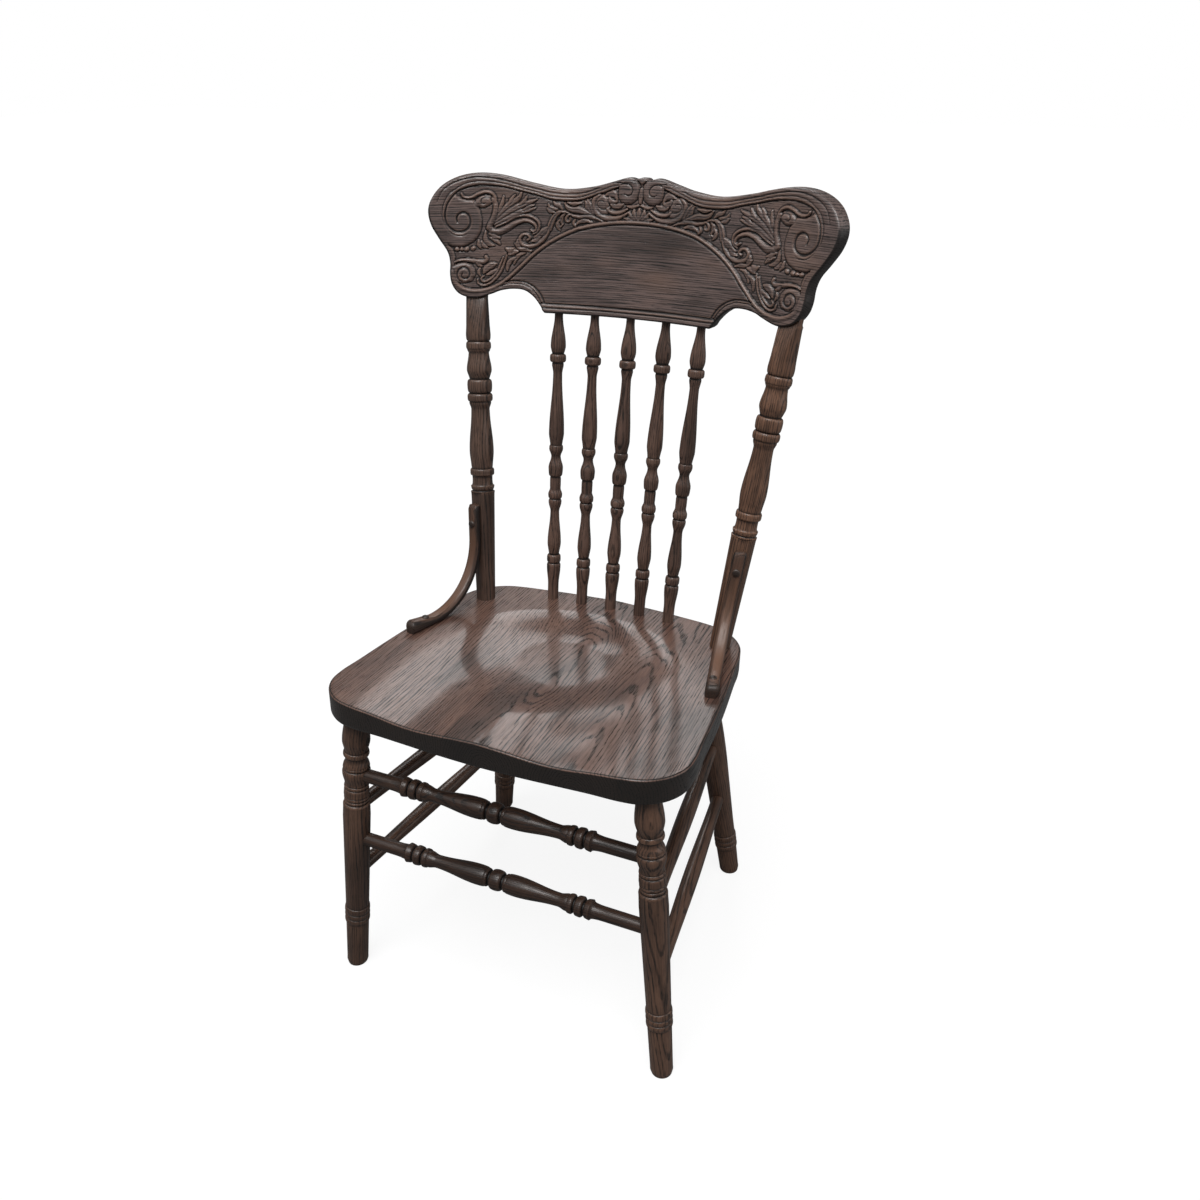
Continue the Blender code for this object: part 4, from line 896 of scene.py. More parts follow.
LEAF_SPRAY = (
    Stroke(ROLL, 2.1, (3.0, 3.4, 3.4, 3.2, 2.6, 2.0, 1.8, 1.5, 1.1), (
        (212, 113), (208, 107.5), (201, 105.8), (193, 107.3), (184, 112), (174, 118), (163, 121.4),
        (153.5, 119.8), (146.5, 115), (145, 109.6), (149, 106.6), (152.6, 109))),
    Stroke(GROOVE, 0.9, (0.5, 0.8, 0.8, 0.4), ((207, 104.2), (194, 104.6), (183, 109.2), (172, 115.6),
                                              (162, 118.4), (154, 116.4))),
    Stroke(ROLL, 1.6, (1.0, 1.6, 1.5, 1.5, 1.3, 1.0), (
        (203, 112.5), (190, 118.5), (178, 125.3), (166, 128.2), (154, 126.6), (144, 121), (141, 113.6),
        (143.6, 106.4), (149, 103.6))),
    Stroke(LEAF, 1.6, (1.0, 2.3, 2.8, 2.4, 0.8), (
        (205, 115.5), (194, 121.8), (182, 128.4), (170, 132.8), (158, 135.2), (149, 138))),
    Stroke(LEAF, 1.7, (1.0, 2.4, 3.0, 2.6, 0.8), (
        (205, 119), (194, 127.6), (183, 134.6), (172, 140.4), (161, 144), (148, 149.5))),
    Stroke(LEAF, 1.7, (1.0, 2.3, 2.9, 2.5, 0.8), (
        (204, 123.5), (196, 133), (187, 141), (178.5, 147), (172.5, 152.6), (170.5, 159))),
    Stroke(LEAF, 1.6, (0.7, 2.0, 0.7), ((172, 141.5), (165.5, 147), (162.5, 153.5))),
    Stroke(LEAF, 1.5, (0.7, 1.8, 0.7), ((166, 135), (158, 139.6), (151, 142))),
    Stroke(LEAF, 1.5, (0.7, 1.8, 0.7), ((188, 141.5), (183, 150), (179, 155))),
    Stroke(LEAF, 1.6, (0.9, 1.8, 1.8, 0.7), ((203, 130), (198.5, 138), (196, 145), (195.2, 153))),
    Stroke(GROOVE, 1.0, (0.4, 0.8, 0.4), ((193, 124.5), (184, 130), (175, 134.4))),
    Stroke(GROOVE, 1.0, (0.4, 0.8, 0.4), ((195, 130.5), (187, 137.5), (179, 142.6))),
    Stroke(ROLL, 2.0, (2.5, 2.6, 2.7, 2.8, 3.0, 3.0), (
        (209, 149), (205.6, 142), (205.4, 133), (207.2, 124), (210.2, 117), (212, 111))),
    Stroke(ROLL, 1.9, (1.2, 1.5, 1.7, 1.7, 1.6, 1.5, 1.1), (
        (205.5, 145), (207, 151.6), (212.5, 157), (220.5, 158.8), (230, 156.4), (238, 152.2), (245, 150.8),
        (251.5, 152.4), (254.5, 156.4))),
    Stroke(GROOVE, 1.6, (1.0, 1.5, 1.5, 0.8), (
        (211, 147), (214, 150.4), (219, 151.8), (224.6, 149.6), (226, 145.6), (223, 142.6), (219.4, 144))),
    Stroke(GROOVE, 0.9, (0.5, 0.8, 0.8, 0.5), (
        (208.6, 146), (208.4, 138), (209.4, 130), (211.8, 121.6), (213.4, 115))),
)

LOBE_STROKES = (
    Stroke(LEAF, 1.6, (0.8, 2.4, 0.8), ((195, 89), (201, 94.5), (209, 97.5))),
    Stroke(LEAF, 1.6, (0.8, 2.2, 0.8), ((196, 97.5), (203, 99.5), (211, 103))),
    Stroke(LEAF, 1.6, (0.8, 2.4, 2.0, 0.8), ((203, 87.5), (211, 89.5), (216, 95.5), (216.5, 106))),
    Stroke(LEAF, 1.5, (0.8, 2.2, 0.8), ((212, 84.5), (217.5, 87), (221.5, 92.5))),
    Stroke(LEAF, 1.5, (0.8, 2.0, 0.8), ((221, 83.5), (224.5, 88), (225.5, 94))),
    Stroke(ROLL, 1.8, (2.1, 2.3, 2.1), ((231.5, 83.8), (232.2, 83.2), (233, 82.6))),
    Stroke(ROLL, 1.8, (2.1, 2.4, 2.1), ((240.6, 82.2), (241.6, 81.9), (242.6, 81.8))),
    Stroke(ROLL, 1.8, (1.8, 2.0, 1.8), ((247.6, 81.9), (248.2, 81.9), (248.8, 81.9))),
    Stroke(ROLL, 1.8, (2.0, 2.2, 2.0), ((254, 81.8), (254.8, 82), (255.6, 82.2))),
    Stroke(LEAF, 1.6, (1.0, 2.8, 3.0, 1.2), ((259, 61.5), (260.6, 70), (264, 79), (270, 87.5))),
    Stroke(ROLL, 1.7, (1.8, 2.2, 2.2, 2.0, 1.4, 0.8), (
        (213.4, 72), (212, 68), (216.5, 65), (226, 65.4), (238, 67.4), (250, 67.2), (257, 64.5))),
    Stroke(GROOVE, 2.1, (0.9, 1.8, 2.1, 2.1, 1.8, 1.1), (
        (245, 38.2), (250, 41.5), (252.4, 48), (250, 54.6), (243.6, 57.6), (237.2, 55), (234.6, 48.6),
        (237.2, 43), (242.6, 42.4), (245.8, 46), (244.6, 50))),
    Stroke(LEAF, 1.6, (0.9, 3.2, 3.0, 0.9), ((197.5, 62.5), (204.5, 60.4), (211, 56), (215, 49.5))),
    Stroke(LEAF, 1.4, (0.7, 1.8, 0.7), ((218, 59), (222.5, 61), (227, 64))),
    Stroke(ROLL, 1.6, (1.0, 1.5, 1.5, 1.3, 1.0), (
        (188.5, 71.5), (191.4, 63), (194.8, 54), (201, 45), (208.6, 39.4), (215, 38.6), (217.6, 42.6),
        (214.4, 45.6))),
    Stroke(ROLL, 1.6, (1.0, 1.5, 1.5, 1.3, 0.9), (
        (184, 73.5), (187, 63), (190.4, 53), (196.6, 43.5), (205, 36), (214, 33.2), (221, 35.6),
        (222.6, 41))),
    Stroke(LEAF, 1.4, (0.7, 2.0, 0.8), ((196, 55.5), (203.5, 50.5), (210.5, 47.5))),
    Stroke(LEAF, 1.3, (0.7, 1.6, 0.7), ((219.4, 46), (222, 51.5), (220.5, 56.5))),
)

ARCH_STROKES = (
    Stroke(ROLL, 2.2, (2.3, 2.3, 2.3, 2.3, 2.3, 2.5, 2.8, 3.2), (
        (0, 124), (25, 123.2), (49, 120.5), (72, 116), (92, 110), (120, 96), (144, 78.5), (167, 55.5),
        (183, 40.5), (195, 32.8), (208, 27.6), (222, 25.2), (236, 26.4), (248, 31.5), (256.5, 40.5),
        (259.5, 52))),
    Stroke(GROOVE, 1.7, (1.3, 1.3, 1.3, 1.3, 1.3, 1.2), (
        (0, 120.6), (24.5, 119.9), (48, 117.2), (70.6, 112.8), (90.4, 106.9), (117.8, 93.2), (141.6, 75.9),
        (164.4, 53.1), (181, 37.8))),
    Stroke(GROOVE, 2.2, (1.6, 1.8, 1.8, 1.6), (
        (0, 9.6), (60, 9.8), (123, 10.2), (124.5, 12), (128, 18.5), (133, 25.2), (140, 31.4), (149, 36.2),
        (158, 39), (170, 39.6), (182, 39))),
    Stroke(GROOVE, 1.7, (1.1, 1.2, 1.2, 0.8), (
        (0, 4.4), (60, 4.6), (126.3, 5), (128.5, 11), (132, 17.6), (137, 24), (143, 29.6), (150, 33.2),
        (158, 36), (170, 36.6), (180, 35.8), (190, 31.8))),
)

FIELD_BORDER: tuple[Pair, ...] = (    # along the inner rim groove, down the ear and back along the arch
    ((0, 173), (4, 176), (10, 182), (34, 169)) + RIM_GROOVES[2].path[1:19]
    + ((275, 132), (271, 96), (266, 84), (261, 70), (259, 60), (258.5, 48), (254, 36), (246, 29.5))
    + ARCH_STROKES[0].path[12::-1])

PANEL_BORDER: tuple[Pair, ...] = (    # between the arch's groove and the one along the bottom
    ARCH_STROKES[1].path[:8] + ((181, 38.5),) + ARCH_STROKES[2].path[9::-1])


@dataclass(frozen=True)
class Rub:
    """A place where hands and backs have thinned the stain, on the whole face and in millimetres."""

    amount: float
    middle: Pair
    spread: Pair


RUBS = (Rub(0.50, (-120, 160), (30, 10)), Rub(0.60, (112, 160), (34, 10)), Rub(0.55, (38, 52), (44, 16)),
        Rub(0.30, (-40, 70), (30, 10)), Rub(0.25, (-100, 60), (30, 12)), Rub(0.35, (70, 90), (26, 8)))


@dataclass
class Pressing:
    """Points of the face while they are pressed, one row or number for each."""

    points: np.ndarray           # S and H on the right half
    height: np.ndarray           # over the board's face
    pressed: np.ndarray          # how far the point lies in the pressed field
    bare: np.ndarray             # how much of the field still shows there


@dataclass
class PressedRelief:
    """Height of the pressed ornament over the crest's face, in millimetres."""

    ground: float = -2.3         # pressed field behind the ornament
    field_edge: Pair = (0.6, 1.6)    # from its border out to where the field starts, and the slope's width
    panel: float = -0.6          # plain panel under the arch
    panel_edge: Pair = (0.4, 1.2)
    arch_base: float = -0.9      # level that the arch's rolls rise from
    stipple: float = 0.22        # roughness of the pressed field
    fullness: float = 1.38       # how much fuller the rolls and leaves are than their drawn widths
    boldness: float = 1.45       # how much prouder they are than their drawn heights
    leaf_fullness: float = 1.14  # how much fuller leaves are than rolls
    vein: Pair = (0.32, 0.18)    # depth of a leaf's middle line, and its share of the half width
    boss_power: float = 0.7      # how blunt the domes are
    roll_power: float = 0.6
    groove_power: float = 0.9
    trench: float = 0.9          # depth of the line pressed round each of them
    trench_width: float = 0.8
    boss_trench: float = 0.4     # from the edge to the middle of that line
    roll_trench: float = 0.3
    curve_steps: int = 5         # from each point of a stroke to the next
    margin: float = 6.0          # how far beyond its own width a stroke is looked for
    raster: float = 0.5          # spacing at which the height is worked out
    wear_spread: float = 4.0     # how far the wear looks round a point
    wear_depth: float = 0.8      # hollow that counts as full of stain and in painted shade
    field_painted_shade: Pair = (0.16, 0.7)    # painted shade in the pressed field, and how near its ground it reaches
    across: Pair = (0.0, 304.0)  # how far the table of heights reaches
    up: Pair = (-8.0, 190.0)
    right_shift: float = 4.8     # the right ear is pressed nearer to the middle than the left
    right_start: float = 165.0
    right_span: float = 70.0
    strokes: tuple[Stroke, ...] = (CENTRE_STROKES + PALMETTE + MIDDLE_STROKES + LEAF_SPRAY + LOBE_STROKES
                                   + ARCH_STROKES + RIM_GROOVES)

    @staticmethod
    def segment_reach(points: np.ndarray, a: np.ndarray, b: np.ndarray) -> tuple[np.ndarray, np.ndarray]:
        """Measure points against one straight segment.

        Args:
            points: Points as rows.
            a: Start of the segment.
            b: End of the segment.

        Returns:
            The distances and the shares along the segment.
        """
        run = b - a
        share = np.clip(((points - a) @ run) / max(float(run @ run), 1e-9), 0.0, 1.0)
        return np.linalg.norm(points - a - share[:, None] * run, axis=1), share

    def border_depth(self, points: np.ndarray, border: Sequence[Pair]) -> np.ndarray:
        """Give how deep points lie inside a closed border, below 0 outside it."""
        corners = np.array(border, float)
        nearest = np.full(len(points), 1e9)
        inside = np.zeros(len(points), bool)
        for a, b in zip(corners, np.roll(corners, -1, axis=0)):
            nearest = np.minimum(nearest, self.segment_reach(points, a, b)[0])
            if a[1] == b[1]:
                continue
            crosses = (points[:, 1] > a[1]) != (points[:, 1] > b[1])
            side = a[0] + (points[:, 1] - a[1]) / (b[1] - a[1]) * (b[0] - a[0])
            inside ^= crosses & (points[:, 0] < side)
        return np.where(inside, nearest, -nearest)

    def stroke_reach(self, points: np.ndarray, stroke: Stroke) -> tuple[np.ndarray, np.ndarray]:
        """Measure points against a stroke.

        Args:
            points: Points as rows.
            stroke: The pressed line.

        Returns:
            The distance in half widths and the half width there.
        """
        line = np.array([tuple(point) for point in smooth_run(stroke.path, self.curve_steps)])
        length = np.concatenate([[0.0], np.cumsum(np.linalg.norm(np.diff(line, axis=0), axis=1))])
        marks = np.linspace(0.0, length[-1], len(stroke.widths))
        best = np.full(len(points), 1e9)
        width = np.full(len(points), stroke.widths[0])
        for a, b, start, end in zip(line, line[1:], length, length[1:]):
            reach, share = self.segment_reach(points, a, b)
            half = np.interp(start + share * (end - start), marks, stroke.widths)
            nearer = reach / half < best
            best = np.where(nearer, reach / half, best)
            width = np.where(nearer, half, width)
        return best, width

    def trench_at(self, beside: np.ndarray, middle: float) -> np.ndarray:
        """Give the depth of the line pressed round an edge, at distances outside that edge."""
        return self.trench * np.exp(-((beside - middle) / self.trench_width) ** 2)

    def raise_boss(self, boss: Boss, face: Pressing) -> None:
        """Raise one pad out of the pressed field.

        Args:
            boss: The pad.
            face: Points of the face, which are changed.
        """
        depth = self.border_depth(face.points, boss.border)
        face.height -= self.trench_at(-depth, self.boss_trench) * face.pressed
        swell = (1.0 - (1.0 - np.clip(depth / boss.edge, 0.0, 1.0)) ** 2) ** self.boss_power
        raised = np.maximum(face.height, self.ground + boss.height * swell)
        face.height = np.where(swell > 0.0, raised, face.height)
        face.bare *= 1.0 - swell

    def press_stroke(self, stroke: Stroke, face: Pressing) -> None:
        """Press one roll, leaf or groove.

        Args:
            stroke: The pressed line.
            face: Points of the face, which are changed.
        """
        path = np.array(stroke.path, float)
        spare = max(stroke.widths) * self.fullness + self.margin
        near = np.all((face.points > path.min(0) - spare) & (face.points < path.max(0) + spare), axis=1)
        share, width = self.stroke_reach(face.points[near], stroke)
        if stroke.profile is GROOVE:
            face.height[near] -= stroke.height * np.clip(1.0 - share ** 2, 0.0, 1.0) ** self.groove_power
            return
        base, rise = self.arch_base, stroke.height
        if stroke not in ARCH_STROKES:
            full = self.fullness * (self.leaf_fullness if stroke.profile is LEAF else 1.0)
            base, rise = self.ground, stroke.height * self.boldness
            share, width = share / full, width * full
        beside = (share - 1.0) * width
        face.height[near] -= self.trench_at(beside, self.roll_trench) * face.pressed[near]
        dome = np.clip(1.0 - share ** 2, 0.0, 1.0) ** self.roll_power
        if stroke.profile is LEAF:
            dome *= 1.0 - self.vein[0] * np.exp(-(share / self.vein[1]) ** 2)
        height = face.height[near]
        face.height[near] = np.where(share < 1.0, np.maximum(height, base + rise * dome), height)
        face.bare[near] *= np.clip(beside, 0.0, 1.0)

    def height_at(self, flat: np.ndarray) -> np.ndarray:
        """Give the height at points of the face.

        Args:
            flat: Rows of S and H in millimetres.

        Returns:
            Height of each point over the board's face.
        """
        points = np.column_stack([np.abs(flat[:, 0]), flat[:, 1]])
        pressed, plain = (rounded((self.border_depth(points, border) + start) / slope)
                          for border, (start, slope) in ((FIELD_BORDER, self.field_edge),
                                                         (PANEL_BORDER, self.panel_edge)))
        face = Pressing(points, self.ground * pressed + self.panel * plain, pressed, pressed.copy())
        for boss in VOLUTES:
            self.raise_boss(boss, face)
        for stroke in self.strokes:
            self.press_stroke(stroke, face)
        speckle = (np.sin(flat[:, 0] * 2.9 + 1.3 * np.sin(flat[:, 1] * 1.7))
                   * np.sin(flat[:, 1] * 3.3 + 1.1 * np.sin(flat[:, 0] * 2.1)))
        return face.height + self.stipple * speckle * face.bare

    @staticmethod
    def rub_at(flat: np.ndarray) -> np.ndarray:
        """Give how much points of the face are rubbed by hands and backs."""
        amount = np.zeros(len(flat))
        for rub in RUBS:
            amount += rub.amount * np.exp(-(((flat - rub.middle) / rub.spread) ** 2).sum(axis=1))
        return amount

    def look_up(self, flat: np.ndarray) -> tuple[np.ndarray, np.ndarray]:
        """Give the pressed height and the wear, with the field's painted shade, at points of the face.

        Args:
            flat: Rows of S and H in millimetres.

        Returns:
            Height of each point over the board's face, and its wear with painted shade.
        """
        across, up = np.arange(*self.across, self.raster), np.arange(*self.up, self.raster)
        grid = np.stack(np.meshgrid(across, up), axis=-1).reshape(-1, 2)
        height = self.height_at(grid).reshape(len(up), len(across))
        count = int(self.wear_spread / self.raster)
        bell = np.exp(-np.linspace(-2.0, 2.0, 2 * count + 1) ** 2)
        mean = height
        for axis in (0, 1):
            sides = [(count, count) if axis == number else (0, 0) for number in (0, 1)]
            padded = np.pad(mean, sides, mode="reflect")
            mean = np.apply_along_axis(np.convolve, axis, padded, bell / bell.sum(), mode="valid")
        wear = np.clip((height - mean) / self.wear_depth, -1.0, 1.0)
        # Painted shade over the pressed field's ground.
        stain, near = self.field_painted_shade
        wear -= stain * np.clip((self.ground + near - height) / near, 0.0, 1.0)
        late = rounded((flat[:, 0] - self.right_start) / self.right_span)
        along_face = np.abs(flat[:, 0]) + self.right_shift * late
        column = np.clip(along_face / self.raster, 0, len(across) - 1.001)
        row = np.clip((flat[:, 1] - up[0]) / self.raster, 0, len(up) - 1.001)
        left, low = column.astype(int), row.astype(int)
        right, high = column - left, row - low
        found = [(1 - high) * ((1 - right) * table[low, left] + right * table[low, left + 1])
                 + high * ((1 - right) * table[low + 1, left] + right * table[low + 1, left + 1])
                 for table in (height, wear)]
        return found[0], found[1] + self.rub_at(flat)


@dataclass
class CrestRail:
    """Bent, leaning crest rail; S runs along the bend and H up the face."""

    height: float = 0.8857
    front_y: float = 0.2628
    bend: float = 0.6090
    lean: float = math.radians(15.9)
    thickness: float = 0.0210
    edge_round: float = 0.0030
    tab_bottom: float = -0.0030
    tab_half_width: float = 0.1225
    tab_steps: int = 40
    curve_steps: int = 10        # from each point of the outline to the next
    cell: float = 0.00112        # mesh size of the pressed face
    weld: float = 0.00012        # points of its rim nearer than this become one
    edge_painted_shade: float = -0.9     # painted shade on the rounded edge, full where it faces down
    edge_shade_lift: float = 0.8        # how much of that painted shade lifts where the edge faces up
    edge_facing: Pair = (1.6, 0.3)    # how fast that grows with the edge's rise, and its start
    rear_wear: float = 0.6       # share of the rear edge's rounding that is plain
    strip: float = 0.01          # strips that the rear is cut into, so that it can bend
    strips_end: float = 0.29
    strip_snap: float = 0.00001  # points nearer to a cut than this lie on it
    sharp: float = math.radians(60.0)
    outline: tuple[Pair, ...] = (
        (0.0000, 0.1806), (0.0060, 0.1802), (0.0095, 0.1778), (0.0128, 0.1790), (0.0200, 0.1802),
        (0.0300, 0.1786), (0.0490, 0.1728), (0.0750, 0.1660), (0.1120, 0.1623),
        (0.1545, 0.1692), (0.1990, 0.1796), (0.2330, 0.1824), (0.2610, 0.1776), (0.2830, 0.1658),
        (0.2960, 0.1488), (0.2990, 0.1325), (0.2935, 0.1145), (0.2815, 0.0965), (0.2685, 0.0790),
        (0.2635, 0.0640), (0.2625, 0.0480), (0.2585, 0.0340), (0.2485, 0.0220), (0.2330, 0.0160),
        (0.2190, 0.0160), (0.2005, 0.0215), (0.1880, 0.0262), (0.1715, 0.0286), (0.1550, 0.0272),
        (0.1410, 0.0190), (0.1300, 0.0070), (0.1260, 0.0000))
    relief: PressedRelief = field(default_factory=PressedRelief)

    def point(self, along_bend: float, up: float, behind: float) -> Vector:
        """Give the point at S, H and a depth behind the front face."""
        turn = along_bend / self.bend
        reach = self.bend + behind
        return Vector((reach * math.sin(turn),
                       self.front_y - self.bend + reach * math.cos(turn) + up * math.sin(self.lean),
                       self.height + up * math.cos(self.lean)))

    def sink(self, spot: Vector, cover: float) -> Vector:
        """Push a point into the board's thickness.

        Args:
            spot: Point near the board.
            cover: Wood that stays in front of the point and behind it.

        Returns:
            The point, moved square to the board's face where it has to be.
        """
        up = (spot.z - self.height) / math.cos(self.lean)
        ahead = spot.y - (self.front_y - self.bend + up * math.sin(self.lean))
        behind = min(max(math.hypot(spot.x, ahead) - self.bend, cover), self.thickness - cover)
        return self.point(math.atan2(spot.x, ahead) * self.bend, up, behind)

    def loop(self) -> list[Vector]:
        """Give the board's closed outline in S and H."""
        half = smooth_run(self.outline, self.curve_steps)
        corner = Vector((self.tab_half_width, self.tab_bottom))
        shares = [step / self.tab_steps for step in range(self.tab_steps + 1)]
        straight = [corner * (1.0 - share) + Vector((0.0, self.tab_bottom)) * share for share in shares]
        return mirrored_loop(half + straight)

    def pressed_sheet(self, outer: np.ndarray, border: np.ndarray) -> Solid:
        """Make the flat front sheet: a fine grid trimmed to the border.

        Args:
            outer: Closed outline of the board, as rows of S and H.
            border: The same outline, set in by the edge's rounding.

        Returns:
            The sheet; its rim lies on the border and remembers the outline beside it.
        """
        low, high = border.min(0), border.max(0)
        cells = np.ceil((high - low) / self.cell).astype(int)
        shape = bmesh.new()
        beside = shape.verts.layers.float_vector.new("beside")
        inside = shape.verts.layers.float_vector.new("inside")
        bmesh.ops.create_grid(shape, x_segments=int(cells[0]), y_segments=int(cells[1]), size=0.5)
        bmesh.ops.scale(shape, vec=(*(high - low), 1.0), verts=shape.verts)
        bmesh.ops.translate(shape, vec=(*((low + high) / 2.0), 0.0), verts=shape.verts)
        faces = list(shape.faces)
        centres = np.array([tuple(face.calc_center_median().xy) for face in faces])
        depth = self.relief.border_depth(centres, border)
        bmesh.ops.delete(shape, geom=[face for face, far in zip(faces, depth) if far < 0.0], context="FACES")
        rim = [corner for corner in shape.verts if corner.is_boundary]
        spots = np.array([tuple(corner.co.xy) for corner in rim])
        best = np.full(len(rim), 1e9)
        nearest = np.zeros((len(rim), 4))
        lines = np.hstack([border, outer])
        for a, b in zip(lines, np.roll(lines, -1, axis=0)):
            reach, share = self.relief.segment_reach(spots, a[:2], b[:2])
            nearer = reach < best
            best = np.where(nearer, reach, best)
            nearest = np.where(nearer[:, None], a + share[:, None] * (b - a), nearest)
        for corner, place in zip(rim, nearest):
            corner.co.xy = place[:2]
            corner[inside] = (place[0], place[1], 0.0)
            corner[beside] = (place[2], place[3], 0.0)
        bmesh.ops.remove_doubles(shape, verts=rim, dist=self.weld)
        return shape

    def roll_edge(self, shape: Solid) -> Edges:
        """Extrude the sheet's rim round the board's edge to its rear face.

        Args:
            shape: The pressed front sheet.

        Returns:
            Edges of the open rear.
        """
        beside = shape.verts.layers.float_vector["beside"]
        inside = shape.verts.layers.float_vector["inside"]
        wear_and_shade_layer = shape.verts.layers.float[WEAR_AND_PAINTED_LIGHT]
        turns = [math.radians(angle) for angle in (30, 60, 90)]
        profile = [(1.0 - math.sin(turn), -self.edge_round * (1.0 - math.cos(turn))) for turn in turns]
        profile += [(0.0, -self.thickness * 0.5), (0.0, self.edge_round - self.thickness)]
        profile += [(1.0 - math.cos(turn), self.edge_round * (1.0 - math.sin(turn)) - self.thickness)
                    for turn in turns]
        edges = [edge for edge in shape.edges if edge.is_boundary]
        for share, level in profile:
            ring, edges = grow(shape, edges)
            for corner in ring:
                corner.co = corner[beside].lerp(corner[inside], share)
                corner.co.z = level
                rise = (corner[beside].y - corner[inside].y) / self.edge_round
                rub = self.relief.rub_at(np.array([corner[beside].xy]) / MM)[0]
                rear = level < self.rear_wear * self.edge_round - self.thickness
                facing_up = rounded(self.edge_facing[0] * rise + self.edge_facing[1])
                # Painted shade on the front edge, lifted where it faces up; the rubs added on top are wear.
                corner[wear_and_shade_layer] = 0.0 if rear else self.edge_shade_lift * facing_up + self.edge_painted_shade + rub
        return edges

    def build(self) -> None:
        """Press the front, roll the edge back, close the rear and bend the board."""
        outer = np.array([tuple(point) for point in self.loop()])
        run = np.roll(outer, -1, axis=0) - np.roll(outer, 1, axis=0)
        run /= np.linalg.norm(run, axis=1)[:, None]
        border = outer - np.column_stack([-run[:, 1], run[:, 0]]) * self.edge_round
        shape = self.pressed_sheet(outer, border)
        wear_and_shade_layer = shape.verts.layers.float.new(WEAR_AND_PAINTED_LIGHT)
        flat = np.array([tuple(corner.co.xy) for corner in shape.verts])
        lift, wear = self.relief.look_up(flat / MM)
        for corner, up, amount in zip(shape.verts, lift, wear):
            corner.co.z = up * MM
            corner[wear_and_shade_layer] = amount
        edges = self.roll_edge(shape)
        notes = shape.verts.layers.float_vector
        for name in ("beside", "inside"):
            notes.remove(notes[name])
        fresh = bmesh.ops.triangle_fill(shape, edges=edges, use_beauty=True)["geom"]
        for cut in np.arange(-self.strips_end, self.strips_end + self.strip / 100.0, self.strip):
            faces = [item for item in fresh if isinstance(item, bmesh.types.BMFace)]
            parts = {item for face in faces for item in (face, *face.edges, *face.verts)}
            fresh = bmesh.ops.bisect_plane(shape, geom=list(parts), plane_co=(cut, 0.0, 0.0),
                                           plane_no=(1.0, 0.0, 0.0), dist=self.strip_snap)["geom"]
        bmesh.ops.recalc_face_normals(shape, faces=shape.faces)
        mark(shape, [Vector((corner.co.y, corner.co.z, corner.co.x)) for corner in shape.verts])
        for corner in shape.verts:
            corner.co = self.point(corner.co.x, corner.co.y, -corner.co.z)
        hand_over("pressed_crest", shape, "crest_rail", CREST_OAK, self.sharp)


